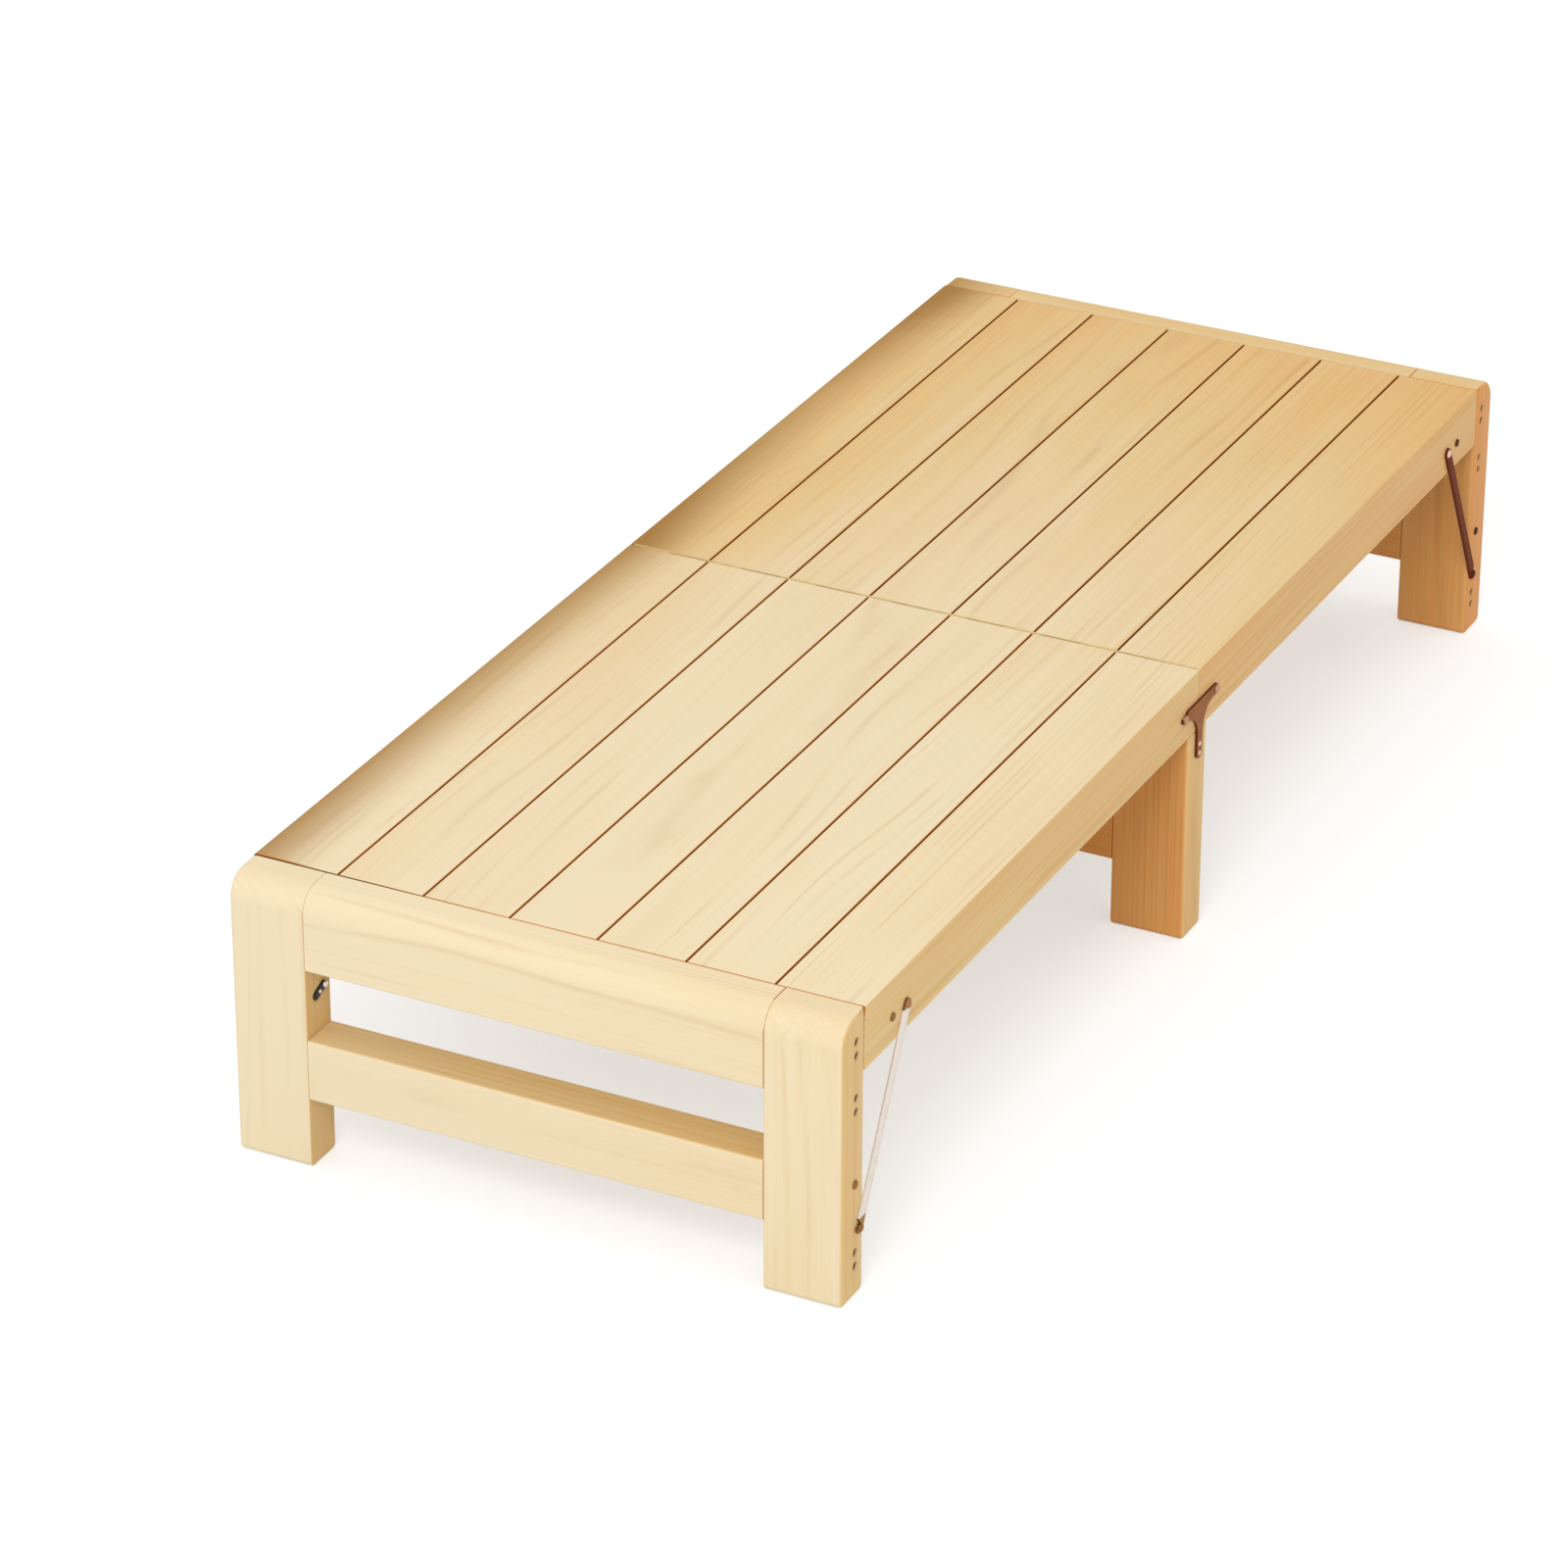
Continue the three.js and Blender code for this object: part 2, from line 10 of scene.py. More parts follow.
import bmesh
import bpy
import numpy as np
from bpy.props import FloatProperty, FloatVectorProperty, IntProperty, PointerProperty
from mathutils import Matrix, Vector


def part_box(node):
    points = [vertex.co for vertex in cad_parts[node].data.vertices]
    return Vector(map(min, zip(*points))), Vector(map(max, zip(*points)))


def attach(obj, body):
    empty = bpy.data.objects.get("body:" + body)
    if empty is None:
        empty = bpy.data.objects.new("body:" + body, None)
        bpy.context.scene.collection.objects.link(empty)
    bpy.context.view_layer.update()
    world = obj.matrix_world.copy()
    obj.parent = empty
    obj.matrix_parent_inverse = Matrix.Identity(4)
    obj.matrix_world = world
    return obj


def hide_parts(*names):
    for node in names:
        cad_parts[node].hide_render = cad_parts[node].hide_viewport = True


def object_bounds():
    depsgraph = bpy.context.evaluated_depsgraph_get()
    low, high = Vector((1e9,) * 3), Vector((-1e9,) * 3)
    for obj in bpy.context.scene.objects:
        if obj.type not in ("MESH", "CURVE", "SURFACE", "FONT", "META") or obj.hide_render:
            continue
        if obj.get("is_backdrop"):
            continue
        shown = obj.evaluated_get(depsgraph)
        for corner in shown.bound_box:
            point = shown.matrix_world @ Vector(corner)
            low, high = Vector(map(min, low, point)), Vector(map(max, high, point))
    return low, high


bl_info = {
    "name": "Folding pine bed",
    "version": (1, 0, 0),
    "blender": (4, 5, 0),
    "location": "View3D > Sidebar > Bed",
    "description": "Wood, metal and small trim of a folding pine bed",
    "category": "Object",
}

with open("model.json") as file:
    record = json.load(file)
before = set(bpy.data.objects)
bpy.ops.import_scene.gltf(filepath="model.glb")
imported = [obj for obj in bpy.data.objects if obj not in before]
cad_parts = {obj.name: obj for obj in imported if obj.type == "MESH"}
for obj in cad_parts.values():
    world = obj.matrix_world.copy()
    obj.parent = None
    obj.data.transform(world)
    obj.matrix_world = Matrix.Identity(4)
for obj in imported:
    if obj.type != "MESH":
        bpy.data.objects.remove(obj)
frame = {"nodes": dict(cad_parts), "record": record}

RECORD = frame["record"]
SLOT_OF = {row["node"]: row["material_slot"] for row in RECORD["subparts"]}
BODY_OF = {node: body for body, nodes in RECORD["behaviour"]["bodies"].items() for node in nodes}
SIDES = (("left", -1), ("right", 1))
ENDS = (("head", -1), ("foot", 1))
# Axis orders (section across, section up, along) that keep a section's turn anticlockwise
ALONG_X = (1, 2, 0)
ALONG_Y = (2, 0, 1)
BED_HALF_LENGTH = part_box("foot_leg_left")[1].y
BED_HALF_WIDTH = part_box("foot_leg_right")[1].x
LEG_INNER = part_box("foot_leg_right")[0].x
# Distance below which two points are one, width of the flat ring round a bar's end, and
# radius of an edge that looks square
MERGE_DISTANCE = 1e-6
CAP_RIM = 0.0006
SQUARE = 0.00015
# Angles over which an edge stays sharp
WOOD_SHARP = math.radians(50)
METAL_SHARP = math.radians(40)
# How far a plate's face looks sideways at least, or else it is a rim
RIM_SLOPE = 0.5
# Heights of the upper recess of each pair, share of a recess's depth over which its wall stays
# light, painted shade at its rim, there and at its bottom, and how far the painted shade reaches
RECESS_TOPS = (0.335, 0.262, 0.058)
WALL_SHARE = 0.75
RECESS_SHADE = (0.3, 0.45, 2.2)
RECESS_REACH = 1.05
# Share of a head's height that its straight rim takes, share of that rim at which it
# turns under, and share of the radius that is left below
HEAD_RIM, RIM_TURN, RIM_FOOT = 0.25, 0.2, 0.97


def linear(hex_colour):
    """A written sRGB colour such as 0xEEDDB5 as linear red, green and blue."""
    channels = [((hex_colour >> shift) & 255) / 255 for shift in (16, 8, 0)]
    return tuple(c / 12.92 if c <= 0.04045 else ((c + 0.055) / 1.055) ** 2.4 for c in channels)


def opaque(colour):
    """A linear colour with an alpha of 1."""
    return (*colour, 1.0)


def darker(colour, share):
    """A colour with its channels cut to a share."""
    return tuple(channel * share for channel in colour)


# Settings


def paint(name, description, default):
    """A colour that the user can change. Its default is a written or a linear colour."""
    default = linear(default) if isinstance(default, int) else default
    return FloatVectorProperty(
        name=name, description=description, subtype="COLOR", size=3, min=0, max=1, default=default)


def number(name, description, default, low, high, **kind):
    """A number that the user can change, with its default, range and unit or subtype."""
    return FloatProperty(
        name=name, description=description, default=default, min=low, max=high, **kind)


def size(*given):
    """A length that the user can change."""
    return number(*given, unit="LENGTH")


class BedWood(bpy.types.PropertyGroup):
    """Colours, grain and eased edges of the pine."""

    pale: paint("Pale wood", "Colour between the growth rings", 0xEEDFBE)
    golden: paint("Golden wood", "Colour of the warmer wood", 0xE6C589)
    # Mostly painted shade: tones above golden blend towards this colour on the middle and foot
    # frames' faces under the bed and at the deck's far end
    deep: paint("Deep wood", "Colour of the darkest pieces", 0xE49C54)
    ring: paint("Growth ring", "Colour of the growth rings", 0xB57E42)
    end_grain: paint("End grain", "Colour of the sawn ends", 0xD9BA84)
    shaded: paint("Shaded wood", "Colour towards the deck's dark left side", 0xA87A34)
    # Painted shade: the colour laid into joints, grooves and recesses where shade falls
    joint: paint("Joint", "Stain inside joints, grooves and recesses", 0xC07014)
    # Painted shade: the darkest brown, at the bottom of the recesses, deep in the grooves and in
    # the joints towards the deck's near left corner
    bored: paint("Bored wood", "Colour at the bottom of the recesses", 0x4A2404)
    ring_strength: number(
        "Ring strength", "How much the growth rings show", 0.135, 0, 1, subtype="FACTOR")
    frame_edge: size(
        "Frame edge radius", "Rounding of the frames' outer edges", 0.005, 0.0005, 0.01)
    board_edge: size(
        "Board edge radius", "Rounding of the boards' upper edges", 0.0019, 0.0002, 0.004)
    joint_edge: size(
        "Joint edge radius", "Rounding of edges that meet other wood", 0.0009, 0.0001, 0.003)
    top_round: size("End radius", "Rounding of both ends' outer top edge", 0.032, 0.005, 0.05)


class BedMetal(bpy.types.PropertyGroup):
    """Colours of the steel parts."""

    tee: paint("Tee plates", "Copper-brown finish of the tee plates", 0xA4653A)
    # Partly painted shade: the foot braces' own bronze, darkened as it lies in shade
    brown_brace: paint("Foot braces", "Dark finish of the foot braces", 0x74300E)
    # Painted highlight: the head braces' near-white colour stands for glare on them
    bright_brace: paint("Head braces", "Bright plating of the head braces", 0xEFE6DE)
    bolt: paint("Bolt heads", "Bronzed finish of the bolt heads", 0x966932)
    # Painted shade: the foot half's bolt heads are the head half's bronzed bolts, made darker
    foot_bolt: paint("Foot bolt heads", "Finish of the foot half's bolt heads", 0x5C2F12)
    recess_screw: paint("Recessed screws", "Dull finish of the legs' recessed screws", 0x7A5630)
    hook_pin: paint("Hook pins", "Copper pins that the tee plates hook on", 0xC79A7C)
    brace_end: paint("Brace ends", "Tan ends of the head braces", 0xA87A4B)
    screw: paint("Plate screws", "Pale copper of the plates' screws", 0xF0D0BC)
    keeper: paint("Keeper plates", "Black nickel of the keeper plates", 0x2C2422)
    hinge: paint("Frame hinges", "Plating of the leg frames' hinges", 0x9A958E)
    catch: paint("Catches", "Polished steel of the keeper plates' heads", 0xF0F0F0)
    seam: paint("Seam hinge", "Aged brass of the seam hinge", 0xDCC38C)
    plate_edge: size("Plate edge", "Width of the plates' eased edges", 0.0004, 0.0001, 0.001)
    head_segments: IntProperty(
        name="Head segments", description="Segments round each bolt head",
        min=12, max=96, default=40)


class BedTrim(bpy.types.PropertyGroup):
    """Sizes of the recessed screws and of the oval keeper plates."""

    recess_radius: size("Recess radius", "Radius of the legs' recesses", 0.0056, 0.002, 0.01)
    recess_depth: size("Recess depth", "Depth of the legs' recesses", 0.0034, 0.001, 0.01)
    recess_inset: size("Recess inset", "Distance of the recesses from the end", 0.0365, 0.01, 0.05)
    recess_pitch: size("Recess pitch", "Distance between a pair's recesses", 0.018, 0.01, 0.04)
    screw_radius: size("Screw head radius", "Radius of the recessed heads", 0.0036, 0.001, 0.008)
    keeper_length: size("Keeper length", "Length of the keeper plates", 0.03, 0.02, 0.06)
    keeper_height: size("Keeper height", "Height of the keeper plates", 0.0125, 0.008, 0.03)
    keeper_thickness: size(
        "Keeper thickness", "Thickness of the keeper plates", 0.002, 0.001, 0.005)
    keeper_inset: size(
        "Keeper inset", "Distance of the plates' centre from the end", 0.031, 0.01, 0.05)
    keeper_level: size(
        "Keeper level", "Height of the plates' centre above the floor", 0.2265, 0.05, 0.3)
    keeper_tilt: number(
        "Keeper tilt", "Rise of the plates towards the bed's middle", 0.38, 0, 1, subtype="ANGLE")


class BedStage(bpy.types.PropertyGroup):
    """Floor, light and camera."""

    floor_colour: paint("Floor", "Colour of the pale floor", (0.8, 0.81, 0.83))
    seen_floor: paint(
        "Floor as seen", "Colour where the floor is seen directly", (0.6, 0.62, 0.655))
    floor_lift: number("Floor lift", "White added where the floor is seen directly", 0.52, 0, 1)
    sky_colour: paint(
        "Surrounding colour", "Colour of the light from all round", (1.0, 0.965, 0.91))
    sky_strength: number(
        "Surrounding light", "Strength of the even light from all round", 0.84, 0, 3)
    key_power: number("Main light", "Power of the large soft light", 165, 0, 3000, unit="POWER")
    lens: number(
        "Focal length", "Camera's focal length in millimetres", 148.18, 10, 400,
        subtype="DISTANCE_CAMERA")


# Surfaces


def rounded_rings(low, high, radii, insets, steps):
    """Rings of a rectangle with rounded corners, one ring for each inset. A corner is the
    arc centre + reach * (cos a, sin a). The reach is the corner's radius less the inset,
    and once that is used up the centre itself moves inwards, so every ring keeps the same
    distance from the next all the way round."""
    signs = np.array([(1, 1), (-1, 1), (-1, -1), (1, -1)], float)
    (left, down), (right, up) = low, high
    corners = np.array([(left, down), (right, down), (right, up), (left, up)])
    radii = np.asarray(radii, float)[None, :]
    insets = np.asarray(insets, float)[:, None]
    centres = corners[None] + signs[None] * np.maximum(radii, insets)[..., None]
    starts = np.radians([180, 270, 0, 90])
    angles = starts[:, None] + np.linspace(0, math.pi / 2, steps + 1)[None, :]
    rays = np.stack([np.cos(angles), np.sin(angles)], -1)
    reach = np.maximum(radii - insets, 0)
    points = centres[:, :, None, :] + reach[:, :, None, None] * rays[None]
    return points.reshape(len(insets), -1, 2)


def swept(rings, places, order):
    """Vertices and faces of a closed bar: ring i of the section stands at places[i] along
    the bar, neighbouring rings are joined by quads, and the two end rings are its caps."""
    count, around = rings.shape[:2]
    points = np.zeros((count, around, 3))
    points[..., order[0]] = rings[..., 0]
    points[..., order[1]] = rings[..., 1]
    points[..., order[2]] = np.asarray(places, float)[:, None]
    index = np.arange(count * around).reshape(count, around)
    following = np.roll(index, -1, axis=1)
    quads = np.stack([index[:-1], following[:-1], following[1:], index[1:]], -1).reshape(-1, 4)
    faces = [*quads.tolist(), index[0][::-1].tolist(), index[-1].tolist()]
    return points.reshape(-1, 3), faces


def end_rings(edge, steps):
    """Insets and depths of the rings that ease one end by a quarter circle: at angle a the
    ring is drawn in by edge * (1 - sin a) and stands edge * (1 - cos a) in from the end.
    One more ring, a little further in, lies flat on the end."""
    turn = np.linspace(0, math.pi / 2, steps + 1)
    insets = np.concatenate([[edge + CAP_RIM], edge * (1 - np.sin(turn))])
    depths = np.concatenate([[0], edge * (1 - np.cos(turn))])
    return insets, depths


def rounded_bar(low, high, order, ends, radii, end_steps=4, corner_steps=4, between=()):
    """A bar from corner low to corner high. ends holds the rounding of its first and last
    end, radii the rounding of the section's corners, anticlockwise from the low corner.
    between adds full rings at shares of the bar's length, for colours that change there."""
    low, high = np.array(low, float), np.array(high, float)
    first, last = (end_rings(edge, end_steps) for edge in ends)
    insets = np.concatenate([first[0], np.zeros(len(between)), last[0][::-1]])
    start, end = low[order[2]], high[order[2]]
    steps = start + (end - start) * np.array(between)
    places = np.concatenate([start + first[1], steps, end - last[1][::-1]])
    section = list(order[:2])
    return swept(rounded_rings(low[section], high[section], radii, insets, corner_steps),
                 places, order)


def turned_solid(profile, centre, segments, direction=1):
    """A turned piece along X: profile point (radius r, distance d) becomes a ring of
    radius r at x = centre x + direction * d, closed by a point where r is zero."""
    profile = np.array(profile, float)
    angles = np.linspace(0, 2 * math.pi, segments, endpoint=False)
    rings = profile[:, 0][:, None, None] * np.stack([np.cos(angles), np.sin(angles)], -1)[None]
    rings += np.array(centre[1:], float)
    places = centre[0] + direction * profile[:, 1]
    if direction < 0:
        rings, places = rings[::-1], places[::-1]
    return swept(rings, places, ALONG_X)


def head_profile(radius, height, base, steps=10):
    """The outline of a round head from its top to its rim: a quarter ellipse
    (radius * sin a, base + height * cos a) over a short straight rim."""
    rim = HEAD_RIM * height
    turn = np.linspace(0, math.pi / 2, steps)
    dome = [(radius * math.sin(a), base + rim + (height - rim) * math.cos(a)) for a in turn]
    return [*dome, (radius, base + rim * RIM_TURN), (radius * RIM_FOOT, base)]


def joined(parts):
    """Several vertex and face lists as one."""
    vertices, faces, start = [], [], 0
    for points, polygons in parts:
        vertices.append(points)
        faces += [[i + start for i in polygon] for polygon in polygons]
        start += len(points)
    return np.concatenate(vertices), faces


# Pieces


def tidy_mesh(mesh, sharp_angle):
    """Merges coinciding points, drops empty faces and shades the rest smooth up to a
    given angle."""
    work = bmesh.new()
    work.from_mesh(mesh)
    bmesh.ops.remove_doubles(work, verts=work.verts, dist=MERGE_DISTANCE)
    bmesh.ops.dissolve_degenerate(work, edges=work.edges, dist=MERGE_DISTANCE)
    work.to_mesh(mesh)
    work.free()
    mesh.shade_smooth()
    mesh.set_sharp_from_angle(angle=sharp_angle)


def new_mesh(name, surface, sharp_angle):
    """A mesh from vertices and faces."""
    mesh = bpy.data.meshes.new(name)
    mesh.from_pydata(surface[0].tolist(), [], surface[1])
    tidy_mesh(mesh, sharp_angle)
    return mesh


def add_number(mesh, name, values):
    """An attribute that the material reads: one number for all points, or one for each."""
    attribute = mesh.attributes.new(name, "FLOAT", "POINT")
    values = np.broadcast_to(np.asarray(values, np.float32), len(mesh.vertices))
    attribute.data.foreach_set("value", np.ascontiguousarray(values))


def adjusted(thing, **settings):
    """A node, modifier, lamp or camera with its settings."""
    for name, value in settings.items():
        setattr(thing, name, value)
    return thing


def linked(name, data):
    """A new object in the scene."""
    thing = bpy.data.objects.new(name, data)
    bpy.context.scene.collection.objects.link(thing)
    return thing


def points_of(piece):
    """The vertices of a piece as an array."""
    points = np.empty(len(piece.data.vertices) * 3, np.float32)
    piece.data.vertices.foreach_get("co", points)
    return points.reshape(-1, 3)


def shares_of(points, node):
    """How far each point lies from the low to the high side of a node's box, 0 to 1."""
    low, high = (np.array(corner, np.float32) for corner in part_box(node))
    return (points - low) / (high - low)


def place_on(name, mesh, body, slot):
    """An object for a mesh, riding on a body of the frame."""
    piece = linked(name, mesh)
    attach(piece, body)
    return piece


def add_piece(name, surface, material, body, slot, sharp_angle):
    """A new piece from vertices and faces."""
    mesh = new_mesh(name, surface, sharp_angle)
    mesh.materials.append(material)
    return place_on(name, mesh, body, slot)


def add_wood(node, surface, pine):
    """A wooden piece that stands for a node of the frame."""
    piece = add_piece(node + "_wood", surface, pine_material(pine), BODY_OF[node],
                      SLOT_OF[node], WOOD_SHARP)
    adjusted(piece.modifiers.new("Even shading", "WEIGHTED_NORMAL"), keep_sharp=True)
    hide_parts(node)
    return piece


def add_trim(name, surface, finish, leg, sharp_angle=METAL_SHARP):
    """A small metal piece that rides with a leg."""
    add_piece(name, surface, metal_material(finish), BODY_OF[leg], "bolt_steel", sharp_angle)


def colour_wood(piece, node, tone, flank=0.0, crown=0.0, stain=0.0, shade=0.0):
    """The numbers that the wood's material reads: plank sets where the grain starts, tone runs from
    pale (0) over golden (1) to deep (2) and holds painted shade besides the wood's own tone, flank
    adds tone to the narrow sides as painted shade, crown to the sawn ends, stain paints shade into
    joints, grooves and recesses, and shade paints shade over wider stretches."""
    numbers = (sorted(SLOT_OF).index(node) + 1, tone, flank, crown, stain, shade)
    for name, values in zip(WOOD_NUMBERS, numbers):
        add_number(piece.data, name, values)


def rim_shade(points, low, high, axis, edge, planes=(0, 1)):
    """Painted shade on the eased rims at a bar's ends: 1 at the end's plane, falling to 0 over the
    rounding, and 0 again on the flat of the end."""
    low, high = np.array(low), np.array(high)
    margins = np.minimum(points - low, high - points)
    margins[:, axis] = np.inf
    on_rim = margins.min(axis=1) < edge + CAP_RIM / 2
    stain = np.zeros(len(points))
    for plane in planes:
        gap = np.abs(points[:, axis] - (low, high)[plane][axis])
        stain = np.maximum(stain, np.clip(1 - gap / edge, 0, 1) * on_rim)
    return stain


def add_metal_copy(node, finishes, edge=0.0, face=0.0):
    """A merged copy of a metal node with eased edges and smooth rounds. Where there are
    three finishes, the narrow rims take the second, and what stands out sideways beyond
    face, such as a screw head, takes the third."""
    mesh = frame["nodes"][node].data.copy()
    mesh.name = node + "_metal"
    tidy_mesh(mesh, METAL_SHARP)
    mesh.materials.clear()
    for finish in finishes:
        mesh.materials.append(metal_material(finish))
    if len(finishes) > 1:
        for polygon in mesh.polygons:
            on_rim = int(abs(polygon.normal.x) < RIM_SLOPE)
            polygon.material_index = 2 if abs(polygon.center.x) > face else on_rim
    piece = place_on(node + "_metal", mesh, BODY_OF[node], SLOT_OF[node])
    if edge > 0:
        adjusted(piece.modifiers.new("Eased edges", "BEVEL"), width=edge, segments=2,
                 limit_method="ANGLE", angle_limit=METAL_SHARP, harden_normals=True)
    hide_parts(node)


def cut_recesses(piece, surface):
    """Takes the recesses out of a leg and keeps the result as the leg's own mesh."""
    mesh = new_mesh("recess cutters", surface, METAL_SHARP)
    cutter = linked("recess cutters", mesh)
    cut = adjusted(piece.modifiers.new("Recesses", "BOOLEAN"), operation="DIFFERENCE",
                   solver="EXACT", object=cutter)
    view = bpy.context.evaluated_depsgraph_get()
    bored = bpy.data.meshes.new_from_object(piece.evaluated_get(view))
    piece.modifiers.remove(cut)
    plain, piece.data = piece.data, bored
    bpy.data.meshes.remove(plain)
    bpy.data.objects.remove(cutter)
    bpy.data.meshes.remove(mesh)
    piece.data.set_sharp_from_angle(angle=WOOD_SHARP)


def recess_shade(points, end):
    """Painted shade in a leg's recesses: slight on the wall, and darkest at the bottom."""
    trim = bpy.context.scene.bed_trim
    centres = np.array(recess_places(end))
    away = np.linalg.norm(points[:, None, 1:] - centres[None], axis=2).min(axis=1)
    depth = (BED_HALF_WIDTH - np.abs(points[:, 0])) / trim.recess_depth
    inside = (away < trim.recess_radius * RECESS_REACH) & (depth < RECESS_REACH)
    return np.where(inside, np.interp(depth, (0, WALL_SHARE, 1), RECESS_SHADE), 0)


def recess_places(end):
    """Along and up places of the recesses of an end leg."""
    trim = bpy.context.scene.bed_trim
    along = end * (BED_HALF_LENGTH - trim.recess_inset)
    return [(along, top - step * trim.recess_pitch) for top in RECESS_TOPS for step in (0, 1)]


def end_legs():
    """Name, side and end of each of the four end legs."""
    return [(f"{name}_leg_{label}", side, end) for name, end in ENDS for label, side in SIDES]


# Node helpers


def feed(tree, sockets, inputs):
    """Links or sets sockets, given by number or by name, with underscores for blanks."""
    for name, value in inputs.items():
        socket = sockets[name.replace("_", " ") if isinstance(name, str) else name]
        if isinstance(value, bpy.types.NodeSocket):
            tree.links.new(value, socket)
        else:
            socket.default_value = value


def put(tree, kind, **given):
    """Adds a shader node. What is given with a capital is the value or link of a socket,
    and the rest are the node's settings."""
    node = tree.nodes.new("ShaderNode" + kind)
    adjusted(node, **{name: value for name, value in given.items() if name[0].islower()})
    feed(tree, node.inputs, {name: value for name, value in given.items() if name[0].isupper()})
    return node


def maths(tree, operation, *values, kind="Math", output=0):
    """The result of a Math node."""
    node = put(tree, kind, operation=operation)
    feed(tree, node.inputs, dict(enumerate(values)))
    return node.outputs[output]


def vectors(tree, operation, *values, output=0):
    """The result of a Vector Math node."""
    return maths(tree, operation, *values, kind="VectorMath", output=output)


def blended(tree, factor, first, second):
    """A colour between two others."""
    node = put(tree, "Mix", data_type="RGBA")
    feed(tree, node.inputs, {0: factor, 6: first, 7: second})
    return node.outputs[2]


def ranged(tree, value, from_low, from_high, to_low=0.0, to_high=1.0):
    """A value moved from one range to another, smoothly at both ends."""
    return put(
        tree, "MapRange", interpolation_type="SMOOTHSTEP", Value=value,
        From_Min=from_low, From_Max=from_high, To_Min=to_low, To_Max=to_high).outputs[0]


def noise(tree, vector, scale, detail, output="Fac"):
    """A noise value or colour."""
    return put(tree, "TexNoise", Vector=vector, Scale=scale, Detail=detail).outputs[output]


def new_group(name, inputs):
    """A node group with inputs given as {name: kind}, and with the outputs of a finish."""
    tree = bpy.data.node_groups.new(name, "ShaderNodeTree")
    for way, sockets in (("INPUT", inputs), ("OUTPUT", FINISH_SOCKETS)):
        for label, kind in sockets.items():
            tree.interface.new_socket(label, in_out=way, socket_type="NodeSocket" + kind)
    given, result = tree.nodes.new("NodeGroupInput"), tree.nodes.new("NodeGroupOutput")
    return tree, given.outputs, result.inputs


def emptied(owner):
    """The node tree of a material or of the world, with nothing in it."""
    owner.use_nodes = True
    owner.node_tree.nodes.clear()
    return owner.node_tree


# Materials

FINISH_SOCKETS = {"Color": "Color", "Roughness": "Float", "Height": "Float"}
WOOD_NUMBERS = ("plank", "tone", "flank", "crown", "stain", "shade")
# Axes of each pine's grain and of its narrow sides
PINE_AXES = {"Board pine": (1, 0), "Leg pine": (2, 0), "Cross rail pine": (0, 2)}
# How squarely a face has to look along those axes to count as a narrow side or a sawn end
FLANK_TURN, SAWN_TURN = (0.45, 0.95), (0.6, 0.97)
# Numbers between which the painted shade of hollows and of wider stretches takes hold, and between
# which the hollows' painted shade turns to its darkest brown; shares of the end colour and of the
# rings lost on a sawn end
SHADE_RANGE, DARKEST_SHADE_RANGE = (0.15, 0.8), (0.8, 1.7)
SAWN_DULL, SAWN_RINGS = 0.1, -0.7
# Noises of the grain: cycles a metre along and across it, and detail
BEND, FIBRE, FINE = (0.9, 5.0, 2.0), (3.0, 260.0, 4.0), (14.0, 620.0, 2.0)
PATCH, STREAK = (1.6, 7.0, 3.0), (4.0, 22.0, 2.0)
# How far apart two planks' grain starts, the pith line's middle and spread, how far it
# bends, and how much the rings are drawn out along the grain
PLANK_SPREAD = (9.0, 5.0, 7.0)
PITH_MIDDLE, PITH_SPREAD = (0.5, 0.5, 0.2), (0.0, 0.16, 0.12)
PITH_BEND, DRAWN_OUT = (0.0, 0.045, 0.045), (0.045, 1.0, 1.0)
# Distance between rings, cycles a metre and strength of the years' changes, and how sharp
# a ring's line is
RING_WIDTH, YEAR_CYCLES, YEAR_CHANGE, RING_SHARPNESS = 0.0095, 45.0, 14.0, 7.0
# Tone that patches and fibres add and take, and the rings' gain on deep wood
PATCH_TONE, FIBRE_TONE, DEEP_RINGS = 0.26, 0.24, 1.3
# Each metal's colour setting, shares of that colour when clean and when clouded, and its
# metallic, smoothness, clouding and gloss
METALS = {
    "Copper-brown plate": ("tee", 1, 0.62, 0.3, 0.5, 0.5, 0.04),
    "Red-brown brace steel": ("brown_brace", 1, 0.7, 0.2, 0.45, 0.5, 0.02),
    "Darkened plate rim": ("brown_brace", 0.7, 0.4, 0.3, 0.5, 0.5, 0.15),
    "Bright brace steel": ("bright_brace", 1, 0.85, 0.3, 0.5, 0.3, 0.15),
    "Bright brace rim": ("bright_brace", 0.85, 0.7, 0.3, 0.5, 0.3, 0.15),
    "Pale copper screws": ("screw", 1, 0.6, 0.7, 0.65, 0.5, 0.15),
    "Bronzed bolt steel": ("bolt", 1, 0.4, 0.55, 0.6, 0.5, 0.15),
    "Dark bolt steel": ("foot_bolt", 1, 0.4, 0.55, 0.6, 0.5, 0.15),
    "Hook pin copper": ("hook_pin", 1, 0.5, 0.6, 0.55, 0.5, 0.15),
    "Plated hinge steel": ("hinge", 1, 0.6, 0.9, 0.6, 0.5, 0.15),
    "Aged seam brass": ("seam", 1, 0.7, 0.4, 0.5, 0.5, 0.15),
    "Dull screw steel": ("recess_screw", 1, 0.5, 0.2, 0.45, 0.5, 0.03),
    "Black nickel": ("keeper", 1, 0.5, 0.6, 0.7, 0.5, 0.15),
    "Polished steel": ("catch", 1, 0.55, 0.9, 0.8, 0.5, 0.15),
}
# Steel of the bolts and studs, darker in the foot half as painted shade
BOLT_STEEL = {-1: "Bronzed bolt steel", 1: "Dark bolt steel"}
# Cycles a metre of the clouds and of the scratches, and how strongly scratches roughen
CLOUD_CYCLES, SCRATCH_CYCLES, SCRATCH_DEPTH = 60.0, (900.0, 900.0, 60.0), 0.16
